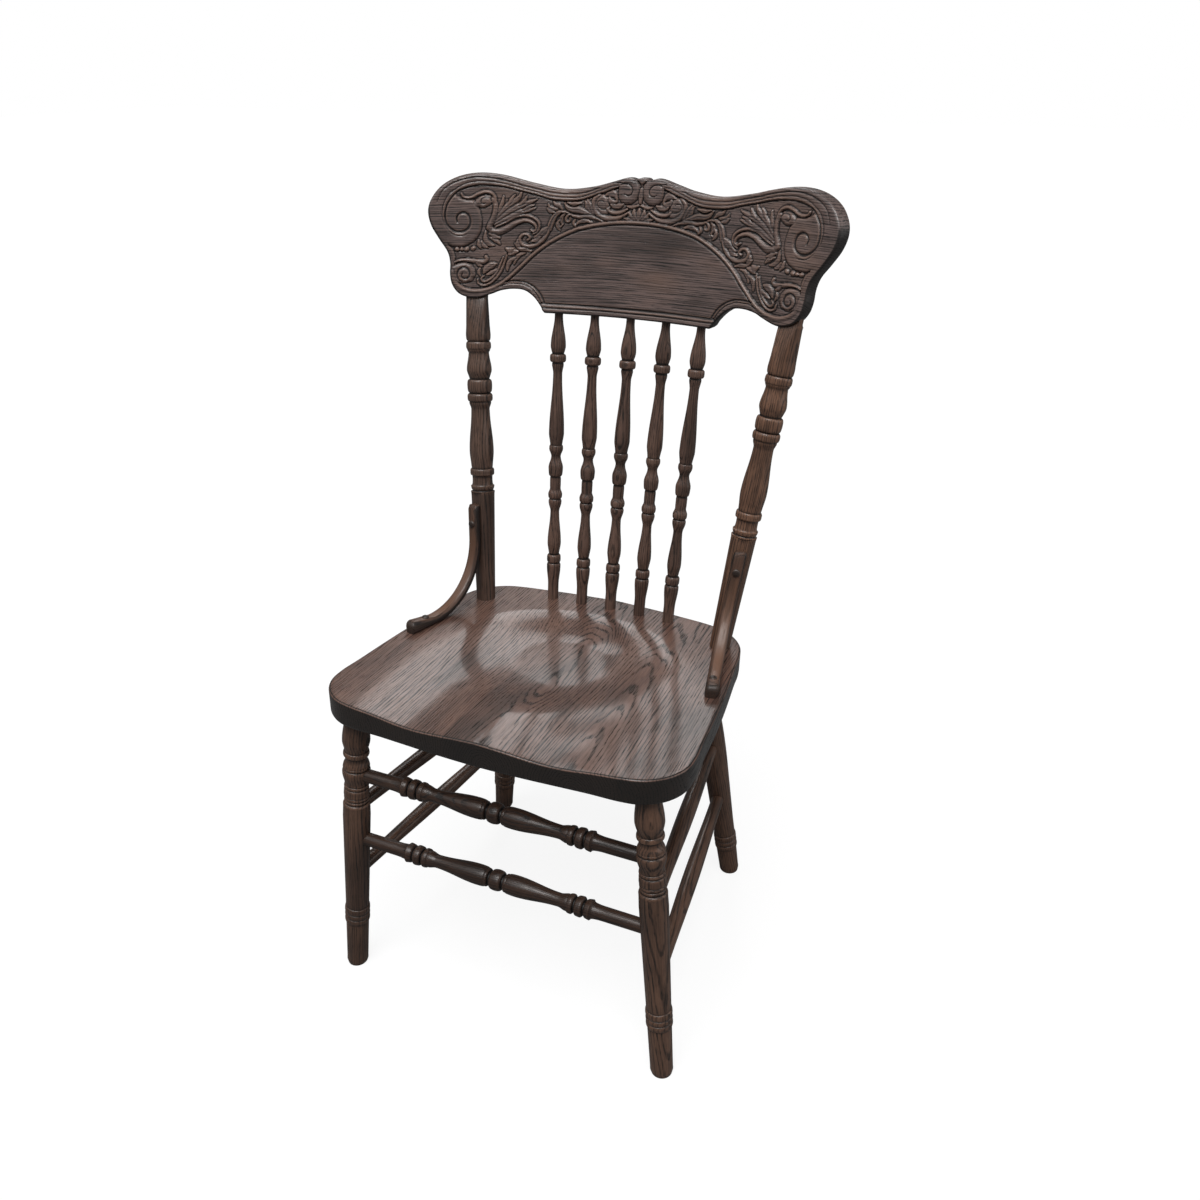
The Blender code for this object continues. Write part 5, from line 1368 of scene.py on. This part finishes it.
@dataclass
class BackPost:
    """One turned post between the seat and the crest rail."""

    hand: Hand
    seat: SeatPlank
    crest: CrestRail
    crest_along: float           # where along the crest's bend the post meets it
    foot_at: Pair = (0.190, 0.157)
    shoulder_up: float = 0.0175
    shoulder_behind: float = 0.0115
    grip: float = 0.022
    base_radius: float = 0.0143
    block_length: float = 0.1680
    block_radius: float = 0.0175
    block_step: float = 0.0002   # from the block's last full ring to the turned part
    top_radius: float = 0.0155
    tenon_radius: float = 0.0075
    sunk: float = 0.013          # how far the post runs on inside the crest's lobe
    sunk_start: float = 0.0005   # from the shoulder to what counts as inside
    cover: float = 0.005         # wood of the crest over what runs on inside it
    brace_flat: float = 0.0145   # flat that the brace lies against, from the axis
    brace_heading: float = math.radians(14.0)
    block_painted_shade: float = 0.24    # painted shade: how much darker the plain lower part is
    finish: StainedOak = TURNED_OAK
    sides: int = 48
    first_seed: int = 21
    sharp: float = math.radians(33.0)
    # Front and rear of the top: from the axis to the pared face, and its slope.
    pares: tuple[Pair, Pair] = ((0.0072, math.radians(12.0)), (0.0092, math.radians(7.0)))
    moves: Moves = (
        (H, 2.5, 16.0), (B, 6.0, 17.1), (H, 9.5, 15.0), (H, 7.0, 16.6), (B, 5.0, 17.7), (B, 5.0, 16.0),
        (E, 26.0, 17.9), (E, 61.0, 13.7), (E, 12.0, 16.3), (B, 6.0, 18.3), (B, 6.0, 15.7), (B, 11.0, 18.1),
        (B, 9.0, 15.2), (E, 14.0, 18.0), (E, 23.0, 15.1), (E, 6.0, 16.8), (B, 4.5, 17.9), (B, 6.5, 16.0),
        (B, 10.0, 17.8), (L, 12.0, 17.0))

    @property
    def foot(self) -> Vector:
        """Middle of the post on the seat's top."""
        return self.seat.at(self.hand.sign * self.foot_at[0], self.foot_at[1])

    @property
    def shoulder(self) -> Vector:
        """Middle of the post where it meets the crest."""
        return self.crest.point(self.crest_along, self.shoulder_up, self.shoulder_behind)

    @property
    def axis(self) -> Vector:
        """Direction of the post upward."""
        return (self.shoulder - self.foot).normalized()

    @property
    def brace_run(self) -> Vector:
        """Direction of the brace's lower part, along the seat's top."""
        ahead = Vector((self.hand.sign * math.sin(self.brace_heading), -math.cos(self.brace_heading), 0.0))
        return (ahead - self.seat.up * ahead.dot(self.seat.up)).normalized()

    @property
    def outward(self) -> Vector:
        """Direction from the post's axis square to the face that holds the brace."""
        return (self.brace_run - self.axis * self.brace_run.dot(self.axis)).normalized()

    def outline(self) -> Outline:
        """Give the turned outline from the lower tenon to the upper one."""
        length = (self.shoulder - self.foot).length
        turned = [(self.block_length + far, size) for far, size in trace(self.block_radius, self.moves)]
        return [(-self.grip, self.base_radius), (0.0, self.base_radius),
                (self.block_length - self.block_step, self.block_radius), *turned, (length, self.top_radius),
                (length + self.sunk, self.top_radius), (length + self.sunk, self.tenon_radius),
                (length + self.grip, self.tenon_radius)]

    def build(self) -> None:
        """Turn the post, plane the flat for its brace and pare its top."""
        hand = self.hand.value
        stick = Turning(f"turned_post_{hand}", f"back_post_{hand}", self.outline(), self.sides,
                        self.first_seed + (self.hand is Hand.RIGHT))
        shape = stick.spin()
        placing = along(self.foot, self.axis)
        facing = placing.to_3x3().inverted() @ self.outward
        wear_and_shade_layer = shape.verts.layers.float[WEAR_AND_PAINTED_LIGHT]
        block_end = self.block_length - self.block_step / 2.0
        for corner in (corner for corner in shape.verts if corner.co.z < block_end):
            corner.co -= facing * max(corner.co.dot(facing) - self.brace_flat, 0.0)
            # Painted shade on the plain lower block.
            corner[wear_and_shade_layer] -= self.block_painted_shade
        length = (self.shoulder - self.foot).length
        inside = [corner for corner in shape.verts if corner.co.z > length + self.sunk_start]
        bmesh.ops.transform(shape, matrix=placing, verts=shape.verts)
        for corner in inside:
            corner.co = self.crest.sink(corner.co, self.cover)
        ahead = self.crest.point(self.crest_along, self.shoulder_up, 0.0) - self.shoulder
        ahead = (ahead - self.axis * ahead.dot(self.axis)).normalized()
        for side, (pare, slope) in zip((1.0, -1.0), self.pares):
            normal = ahead * side * math.cos(slope) + self.axis * math.sin(slope)
            saw(shape, self.shoulder + ahead * side * pare, normal)
        bmesh.ops.recalc_face_normals(shape, faces=shape.faces)
        hand_over(stick.name, shape, stick.node, self.finish, self.sharp)


@dataclass
class HipBrace:
    """Bent bar from a post to the seat, held by two plugged screws."""

    post: BackPost
    reach: float                 # from the post's foot to the tip, along the seat
    plug_reach: float            # from the post's foot to the lower plug
    fit: float = 0.0003
    thickness: float = 0.0115
    width: float = 0.0180
    bend: float = 0.1058
    top: float = 0.1500
    chamfer: float = 0.0070
    top_flat: float = 0.0080
    tip_swell: float = 0.0055    # the bar is thicker at its tip
    nose: float = 0.0085
    edge_round: float = 0.0048
    plug_height: float = 0.1210
    plug_radius: float = 0.0056
    plug_dome: Moves = ((B, 3.0, 1.4),)
    plug_stem: Pair = (0.0040, 0.0045)    # depth in the hole, and radius
    plug_spread: float = 0.001            # how far the wear looks along the plug
    plug_sides: int = 32
    plug_seed: int = 40
    face_wear: Pair = (0.55, 0.05)    # of the bar's upper face and of the other one
    face_depth: float = 0.002         # how near the upper face a point counts as part of it
    fore_wear: Pair = (0.15, 0.030)   # of the part before the tip, and its length
    tip_wear: Pair = (-0.40, 0.9)     # of the end grain, and the share of the nose that shows it
    # painted shade on the bar's rounded sides
    side_painted_shade: float = 0.75
    grain_apart: float = 0.9          # between the two bars' places in their wood
    bend_steps: int = 36
    nose_steps: int = 5
    edge_steps: int = 5

    @property
    def drop(self) -> float:
        """Angle of the seat's top to the face that holds the brace."""
        return math.asin(self.post.brace_run.dot(self.post.axis))

    @property
    def inner(self) -> float:
        """The bar's inner face, from the post's axis."""
        return self.post.brace_flat + self.fit

    @property
    def run(self) -> Vector:
        """Direction along the seat's top, out from the post and up its axis."""
        return Vector((math.cos(self.drop), math.sin(self.drop)))

    @property
    def rise(self) -> Vector:
        """Direction square to the seat's top, out from the post and up its axis."""
        return Vector((-math.sin(self.drop), math.cos(self.drop)))

    @property
    def centre(self) -> Vector:
        """Middle of the bend, out from the post and up its axis."""
        middle = self.inner + self.thickness / 2.0 + self.bend
        level = self.fit + self.thickness / 2.0 + self.bend
        return Vector((middle, (level - middle * self.rise.x) / self.rise.y))

    def outline(self) -> list[Vector]:
        """Give the bar's side view, out from the post and up its axis."""
        sweep = math.pi / 2.0 + self.drop
        turns = [math.pi + sweep * step / self.bend_steps for step in range(self.bend_steps + 1)]
        ways = [Vector((math.cos(turn), math.sin(turn))) for turn in turns]
        under = [self.centre + way * (self.bend + self.thickness / 2.0) for way in ways]
        over = [self.centre + way * (self.bend - self.thickness / 2.0) for way in ways]
        tip = self.run * self.reach + self.rise * self.fit
        front = [tip]
        for step in range(self.nose_steps + 1):
            turn = math.pi / 2.0 * step / self.nose_steps
            level = self.thickness + self.tip_swell - self.nose * (1.0 - math.sin(turn))
            front.append(tip + self.rise * level - self.run * self.nose * (1.0 - math.cos(turn)))
        head = [Vector((self.inner + self.thickness, self.top - self.chamfer)),
                Vector((self.inner + self.top_flat, self.top)), Vector((self.inner, self.top))]
        return under + front + over[::-1] + head

    def grain(self, spot: Vector) -> Vector:
        """Give a point's place in the bent stick, with Z along the bend."""
        aside = spot.xy - self.centre
        turn = min(max(math.atan2(-aside.y, -aside.x), 0.0), math.pi / 2.0 + self.drop)
        way = Vector((-math.cos(turn), -math.sin(turn)))
        past = aside.dot(Vector((way.y, -way.x)))
        apart = self.grain_apart * self.post.hand.sign
        return Vector((aside.dot(way) - self.bend, spot.z, turn * self.bend - past + apart))

    def swell_at(self, reach: float) -> float:
        """Give how much thicker the bar is at a reach from the post's foot."""
        start = self.centre.dot(self.run)
        return self.tip_swell * max(0.0, (reach - start) / (self.reach - self.nose - start))

    def wear(self, spot: Vector) -> float:
        """Give the rubbing of a point: the face is rubbed, the sides carry painted shade and the tip's end
        grain is dark.
        """
        reach = spot.xy.dot(self.run)
        if reach > self.reach - self.nose * self.tip_wear[1]:
            return self.tip_wear[0]
        flat = self.width / 2.0 - self.edge_round
        # Painted shade towards the bar's sides.
        side = self.side_painted_shade * rounded((abs(spot.z) - flat) / self.edge_round)
        if reach >= self.reach - self.fore_wear[1]:
            return self.fore_wear[0] - side
        above = (spot.xy - self.centre).length < self.bend - self.face_depth
        return self.face_wear[0 if above else 1] - side

    def build(self) -> None:
        """Saw the bar's side view, round its edges, bend it into place and plug its screws."""
        hand = self.post.hand.value
        shape = bmesh.new()
        face = shape.faces.new([shape.verts.new((*point, -self.width / 2.0)) for point in self.outline()])
        fresh = bmesh.ops.extrude_face_region(shape, geom=[face])["geom"]
        lifted = [item for item in fresh if isinstance(item, bmesh.types.BMVert)]
        bmesh.ops.translate(shape, vec=(0.0, 0.0, self.width), verts=lifted)
        long_edges = [edge for edge in shape.edges if abs(edge.verts[0].co.z - edge.verts[1].co.z) < 0.001]
        bmesh.ops.bevel(shape, geom=long_edges, offset=self.edge_round, offset_type="OFFSET",
                        segments=self.edge_steps, profile=0.5, affect="EDGES", material=-1,
                        clamp_overlap=True)
        bmesh.ops.recalc_face_normals(shape, faces=shape.faces)
        mark(shape, [self.grain(corner.co) for corner in shape.verts],
             [self.wear(corner.co) for corner in shape.verts])
        side = self.post.outward.cross(self.post.seat.up).normalized()
        placing = Matrix((self.post.outward, self.post.axis, side)).transposed().to_4x4()
        placing.translation = self.post.foot
        bmesh.ops.transform(shape, matrix=placing, verts=shape.verts)
        bmesh.ops.recalc_face_normals(shape, faces=shape.faces)
        hand_over(f"bent_brace_{hand}", shape, f"hip_brace_{hand}", BRACE_OAK)
        upper = self.post.foot + self.post.axis * self.plug_height
        upper += self.post.outward * (self.inner + self.thickness)
        lower = self.post.foot + self.post.brace_run * self.plug_reach
        lower += self.post.seat.up * (self.fit + self.thickness + self.swell_at(self.plug_reach))
        self.plug("upper", upper, self.post.outward)
        self.plug("lower", lower, self.post.seat.up)

    def plug(self, level: str, place: Vector, outward: Vector) -> None:
        """Turn a domed plug and set it over a screw.

        Args:
            level: Upper or lower, for the name.
            place: Middle of the hole in the bar's face.
            outward: Direction square to the face.
        """
        hand = self.post.hand.value
        depth, stem = self.plug_stem
        outline = [(-depth, stem), (0.0, stem), (0.0, self.plug_radius),
                   *trace(self.plug_radius, self.plug_dome)]
        seed = self.plug_seed + 2 * len(level) + len(hand)
        stick = Turning(f"domed_plug_{hand}_{level}", f"brace_plug_{hand}_{level}", outline,
                        self.plug_sides, seed, self.plug_spread, crisp=0.0)
        stick.build(along(place, outward), PLUG_OAK)


@dataclass
class SpindleRow:
    """Five turned spindles between the seat and the crest rail."""

    seat: SeatPlank
    crest: CrestRail
    count: int = 5
    foot_spacing: float = 0.0476
    head_spacing: float = 0.0525
    head_shift: float = 0.0008
    row_back: float = 0.0042     # the middle foot behind the row's line
    row_bow: float = 0.0009
    head_up: float = -0.0030
    head_behind: float = 0.0125
    grip: float = 0.020
    base_radius: float = 0.0083
    top_radius: float = 0.0060
    sides: int = 32
    wear_depth: float = 0.0009
    moves: Moves = (
        (L, 22.0, 8.3), (E, 30.0, 10.5), (B, 6.0, 9.0), (B, 6.5, 10.5), (B, 7.0, 8.2), (E, 19.0, 10.2),
        (E, 48.0, 6.8), (E, 16.0, 9.7), (B, 4.5, 8.6), (B, 6.5, 10.4), (E, 10.0, 8.2), (L, 18.0, 8.3),
        (B, 12.5, 10.8), (E, 17.5, 7.3), (E, 12.0, 10.2), (B, 5.0, 9.2), (E, 18.5, 11.2), (E, 85.0, 6.7),
        (E, 17.0, 8.8), (B, 6.0, 11.6), (B, 6.0, 9.3), (E, 11.5, 10.9), (E, 42.0, 6.0))

    def build(self) -> None:
        """Turn each spindle and stand it in the seat."""
        turned = trace(self.base_radius, self.moves)
        for number in range(self.count):
            place = number - (self.count - 1) / 2.0
            back = self.seat.row_y + self.row_back - self.row_bow * place * place
            foot = self.seat.at(place * self.foot_spacing, back)
            head = self.crest.point(place * self.head_spacing + self.head_shift, self.head_up,
                                    self.head_behind)
            length = (head - foot).length
            outline = [(-self.grip, self.base_radius), *turned, (length + self.grip, self.top_radius)]
            stick = Turning(f"turned_spindle_{number + 1}", f"spindle_{number + 1}", outline, self.sides,
                            number + 1, depth=self.wear_depth)
            stick.build(along(foot, head - foot), TURNED_OAK)


@dataclass
class TurnedLeg:
    """One splayed leg, from the floor to the seat's underside."""

    name: str
    top_at: Pair
    foot: Vector
    moves: Moves
    foot_moves: Moves
    seat: SeatPlank
    seed: int
    grip: float = 0.022
    tenon_radius: float = 0.0154
    foot_radius: float = 0.0154
    foot_edge: float = 0.0020
    foot_edge_height: float = 0.0050
    floor_spare: float = 0.0040
    sides: int = 48

    @property
    def top(self) -> Vector:
        """Middle of the leg at the seat's underside."""
        return self.seat.at(*self.top_at, self.seat.thickness)

    @property
    def axis(self) -> Vector:
        """Direction of the leg upward."""
        return (self.top - self.foot).normalized()

    def at_height(self, height: float) -> Vector:
        """Give the point of the axis at a height over the floor."""
        return self.foot + self.axis * (height / self.axis.z)

    def outline(self) -> Outline:
        """Give the turned outline from the tenon down to the floor."""
        length = (self.top - self.foot).length
        upper = trace(self.tenon_radius, self.moves)
        lower = trace(self.foot_radius, self.foot_moves)
        return [(length + self.grip, self.tenon_radius), *((length - far, size) for far, size in upper),
                *((self.foot_edge_height + far, size) for far, size in reversed(lower)),
                (-self.floor_spare, self.foot_radius - self.foot_edge)]

    def build(self) -> None:
        """Turn the leg, splay it and saw its foot level."""
        stick = Turning(f"turned_{self.name}", self.name, self.outline(), self.sides, self.seed)
        shape = stick.spin()
        bmesh.ops.transform(shape, matrix=along(self.foot, self.axis), verts=shape.verts)
        saw(shape, Vector((0.0, 0.0, 0.0)), Vector((0.0, 0.0, -1.0)))
        bmesh.ops.recalc_face_normals(shape, faces=shape.faces)
        hand_over(stick.name, shape, stick.node, LEG_OAK)


@dataclass
class LegSet:
    """The four legs."""

    seat: SeatPlank
    front_top: Pair = (0.2066, -0.1691)
    front_foot: Pair = (0.2446, -0.1940)
    rear_top: Pair = (0.1607, 0.1716)
    rear_foot: Pair = (0.2133, 0.2165)
    front_moves: Moves = (
        (E, 37.0, 18.6), (E, 17.5, 16.0), (B, 4.0, 17.2), (B, 4.0, 15.2), (H, 4.0, 14.5), (E, 12.0, 17.6),
        (B, 2.0, 17.9), (B, 2.5, 16.6), (B, 6.5, 18.9), (E, 18.5, 16.0), (L, 1.0, 15.3), (B, 3.0, 16.5),
        (B, 3.0, 15.2), (B, 4.5, 16.9), (L, 6.0, 17.2), (B, 3.0, 16.2), (B, 2.5, 16.9), (B, 3.0, 15.4),
        (B, 3.0, 16.8), (B, 2.5, 15.8), (B, 5.0, 18.4), (L, 19.5, 19.0))
    rear_moves: Moves = ((L, 10.0, 14.4), (B, 6.0, 16.6), (B, 6.0, 15.0), (E, 142.0, 19.2), (L, 20.0, 19.2))
    ankle_rings: Moves = (
        (B, 5.0, 17.8), (B, 4.0, 16.5), (B, 4.5, 17.8), (B, 4.5, 16.5), (B, 5.0, 17.9), (B, 6.0, 16.6))
    ankle_heights: Pair = (77.0, 49.0)   # of the front and the rear legs' lowest rings over the foot's edge
    ankle_span: float = 82.0             # length of the plain parts under and over the rings
    ankle_radii: Pair = (16.4, 16.7)
    first_seed: int = 10

    def leg(self, row: str, hand: Hand) -> TurnedLeg:
        """Give the front or rear leg of one side."""
        top, foot, moves = ((self.front_top, self.front_foot, self.front_moves) if row == "front"
                            else (self.rear_top, self.rear_foot, self.rear_moves))
        seed = self.first_seed + (row == "rear") * 2 + (hand is Hand.RIGHT)
        ankle = self.ankle_heights[row == "rear"]
        under, over = self.ankle_radii
        foot_moves = ((L, ankle, under), *self.ankle_rings, (L, self.ankle_span - ankle, over))
        return TurnedLeg(f"{row}_leg_{hand.value}", (hand.sign * top[0], top[1]),
                         Vector((hand.sign * foot[0], foot[1], 0.0)), moves, foot_moves, self.seat, seed)

    def build(self) -> None:
        """Turn the four legs."""
        for row in ("front", "rear"):
            for hand in Hand:
                self.leg(row, hand).build()


@dataclass
class StretcherSet:
    """Two turned rails in front, four plain ones at the sides and one behind."""

    legs: LegSet
    stop: float = 0.003          # from a leg's axis to the end in its socket
    front_end: float = 0.0094
    front_middle: float = 0.0141
    plain_end: float = 0.0095
    plain_swell: float = 0.0116
    plain_straight: float = 0.030
    sides: int = 40
    seeds: tuple[int, int, int] = (50, 60, 70)    # of the first front, side and rear rail
    front_heights: tuple[tuple[str, float], ...] = (("upper", 0.345), ("lower", 0.236))
    rear_height: float = 0.305
    side_heights: tuple[tuple[Hand, str, float, float], ...] = (
        (Hand.LEFT, "upper", 0.288, 0.266), (Hand.LEFT, "lower", 0.173, 0.164),
        (Hand.RIGHT, "upper", 0.281, 0.264), (Hand.RIGHT, "lower", 0.163, 0.163))
    moves: Moves = (
        (B, 9.0, 9.6), (L, 2.5, 9.4), (B, 4.5, 12.4), (B, 12.0, 13.9), (E, 63.0, 9.1), (E, 14.0, 11.6),
        (B, 4.0, 12.8), (B, 4.5, 10.0), (L, 1.5, 10.0), (B, 7.0, 13.4), (B, 5.0, 10.2), (L, 1.5, 10.2),
        (B, 8.5, 13.0), (H, 17.5, 9.6))

    def rail(self, name: str, start: Vector, end: Vector, turned: bool, seed: int) -> None:
        """Turn one rail between two points.

        Args:
            name: The node that the rail stands for.
            start: Point on the first leg's axis.
            end: Point on the second leg's axis.
            turned: Whether the rail has rings and balls.
            seed: Number that sets its grain.
        """
        length = (end - start).length
        half = length / 2.0 - self.stop
        if turned:
            side = [*trace(self.front_middle, self.moves), (half, self.front_end)]
        else:
            swell = ((E, (length / 2.0 - self.plain_straight) / MM, self.plain_end / MM),)
            side = [*trace(self.plain_swell, swell), (half, self.plain_end)]
        outline = [(-far, size) for far, size in reversed(side)] + side[1:]
        stick = Turning(f"turned_{name}", name, outline, self.sides, seed)
        # The turned front rails take the darker copy, painted shade under the seat.
        stick.build(along((start + end) / 2.0, end - start), SHADED_RAIL_OAK if turned else LEG_OAK)

    def across(self, row: str, height: float) -> tuple[Vector, Vector]:
        """Give the points of the front or rear legs' axes at one height."""
        left, right = (self.legs.leg(row, hand).at_height(height) for hand in (Hand.LEFT, Hand.RIGHT))
        return left, right

    def build(self) -> None:
        """Turn the seven rails."""
        front, sides, rear = self.seeds
        for number, (level, height) in enumerate(self.front_heights):
            self.rail(f"front_stretcher_{level}", *self.across("front", height), True, front + number)
        for number, (hand, level, ahead, behind) in enumerate(self.side_heights):
            start = self.legs.leg("front", hand).at_height(ahead)
            end = self.legs.leg("rear", hand).at_height(behind)
            self.rail(f"side_stretcher_{hand.value}_{level}", start, end, False, sides + number)
        self.rail("rear_stretcher", *self.across("rear", self.rear_height), False, rear)


@dataclass
class HiddenScrews:
    """The four brace screws, kept as they are in the frame and dressed in steel."""

    finish: PlainSteel = PlainSteel()

    def build(self) -> None:
        """Give the kept screws their steel."""
        steel = self.finish.material()
        for name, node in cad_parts.items():
            if name.startswith("brace_screw_"):
                for place in node.material_slots:
                    place.material = steel
                LOG.info("%s is kept and dressed in steel", name)


@dataclass
class Studio:
    """White room, soft lamps and the camera."""

    eye: Vector = field(default_factory=lambda: Vector((0.53901, -1.140511, 1.21303)))
    azimuth: float = math.radians(23.40)
    elevation: float = math.radians(28.064)
    roll: float = math.radians(-0.13)
    focal: float = 1032.84       # in pixels of the frame
    frame_pixels: float = 1200.0
    sensor: float = 36.0
    floor_size: float = 40.0
    floor_gap: float = 0.0005    # between the floor and the feet
    floor_tone: float = 0.17     # what the chair sees of the floor
    floor_glow: float = 0.87     # what the camera sees on top of it
    room_light: float = 0.12
    suns: tuple[tuple[str, float, float, float, float], ...] = (   # strength, azimuth, elevation, width
        ("key_lamp", 2.05, 8.0, 66.0, 36.0), ("fill_lamp", 0.50, -62.0, 50.0, 60.0),
        ("rear_lamp", 0.36, -158.0, 35.6, 20.0), ("side_lamp", 0.62, 100.0, 24.0, 60.0))

    def floor(self) -> None:
        """Lay the pale floor, which keeps the chair's shadow."""
        shape = bmesh.new()
        bmesh.ops.create_grid(shape, x_segments=1, y_segments=1, size=self.floor_size / 2.0)
        mesh = bpy.data.meshes.new("studio_floor")
        shape.to_mesh(mesh)
        shape.free()
        material, graph = new_material("floor_paint")
        place = graph.add("ShaderNodeTexCoord").outputs["Object"]
        speck = graph.noise(place, 6.0).outputs["Fac"]
        tone = self.floor_tone
        colour = graph.blend(speck, (tone, tone, tone), (tone - 0.01, tone - 0.01, tone - 0.01))
        paint = graph.add("ShaderNodeBsdfDiffuse", {"Color": colour})
        glow = graph.add("ShaderNodeEmission", {"Strength": graph.math(
            "MULTIPLY", graph.add("ShaderNodeLightPath").outputs["Is Camera Ray"], self.floor_glow)})
        total = graph.add("ShaderNodeAddShader", {0: paint.outputs[0], 1: glow.outputs[0]})
        graph.add("ShaderNodeOutputMaterial", {"Surface": total.outputs[0]})
        mesh.materials.append(material)
        floor = put_in("studio_floor", mesh)
        floor.location.z = -self.floor_gap

    def room(self) -> None:
        """Fill the room with white that the camera and transmission rays see, and plainer light for the
        lacquer and the rest.
        """
        world = bpy.data.worlds.new("white_room")
        bpy.context.scene.world = world
        world.use_nodes = True
        graph = Graph(world.node_tree)
        path = graph.add("ShaderNodeLightPath").outputs
        seen = graph.math("MAXIMUM", path["Is Camera Ray"], path["Is Transmission Ray"])
        strength = graph.plus(self.room_light, seen, 1.0 - self.room_light)
        shine = graph.add("ShaderNodeBackground", {"Color": (1.0, 1.0, 1.0, 1.0), "Strength": strength})
        graph.add("ShaderNodeOutputWorld", {"Surface": shine.outputs[0]})

    def lamps(self) -> None:
        """Hang the soft lamps."""
        for name, strength, azimuth, elevation, width in self.suns:
            lamp = bpy.data.lights.new(name, "SUN")
            lamp.energy = strength
            lamp.angle = math.radians(width)
            holder = put_in(name, lamp)
            holder.rotation_euler = Euler((math.radians(90.0 - elevation), 0.0, math.radians(azimuth)))

    def camera(self) -> None:
        """Stand the camera where the photo was taken."""
        back = Vector((math.sin(self.azimuth) * math.cos(self.elevation),
                       -math.cos(self.azimuth) * math.cos(self.elevation), math.sin(self.elevation)))
        right = Vector((math.cos(self.azimuth), math.sin(self.azimuth), 0.0))
        up = back.cross(right)
        level = right * math.cos(self.roll) + up * math.sin(self.roll)
        upright = up * math.cos(self.roll) - right * math.sin(self.roll)
        lens = bpy.data.cameras.new("photo_camera")
        lens.sensor_fit = "HORIZONTAL"
        lens.sensor_width = self.sensor
        lens.lens = self.focal / self.frame_pixels * self.sensor
        lens.clip_start = 0.01
        holder = put_in("photo_camera", lens)
        placing = Matrix((level, upright, back)).transposed().to_4x4()
        placing.translation = self.eye
        holder.matrix_world = placing
        bpy.context.scene.camera = holder

    def build(self) -> None:
        """Set up the room, floor, lamps, camera and plain colours."""
        self.floor()
        self.room()
        self.lamps()
        self.camera()
        bpy.context.scene.view_settings.view_transform = "Standard"


def main() -> None:
    """Build the chair piece by piece, then the studio."""
    logging.basicConfig(level=logging.INFO, format="%(message)s")
    seat = SeatPlank()
    crest = CrestRail()
    legs = LegSet(seat)
    seat.build()
    legs.build()
    StretcherSet(legs).build()
    left = BackPost(Hand.LEFT, seat, crest, -0.2230, brace_heading=math.radians(14.0), finish=SHADED_OAK)
    right = BackPost(Hand.RIGHT, seat, crest, 0.2385, brace_heading=math.radians(12.7), finish=WARM_OAK)
    left.build()
    right.build()
    SpindleRow(seat, crest).build()
    HipBrace(left, 0.1610, 0.1290).build()
    HipBrace(right, 0.1495, 0.1165).build()
    HiddenScrews().build()
    crest.build()
    Studio().build()


if __name__ == "__main__":
    main()
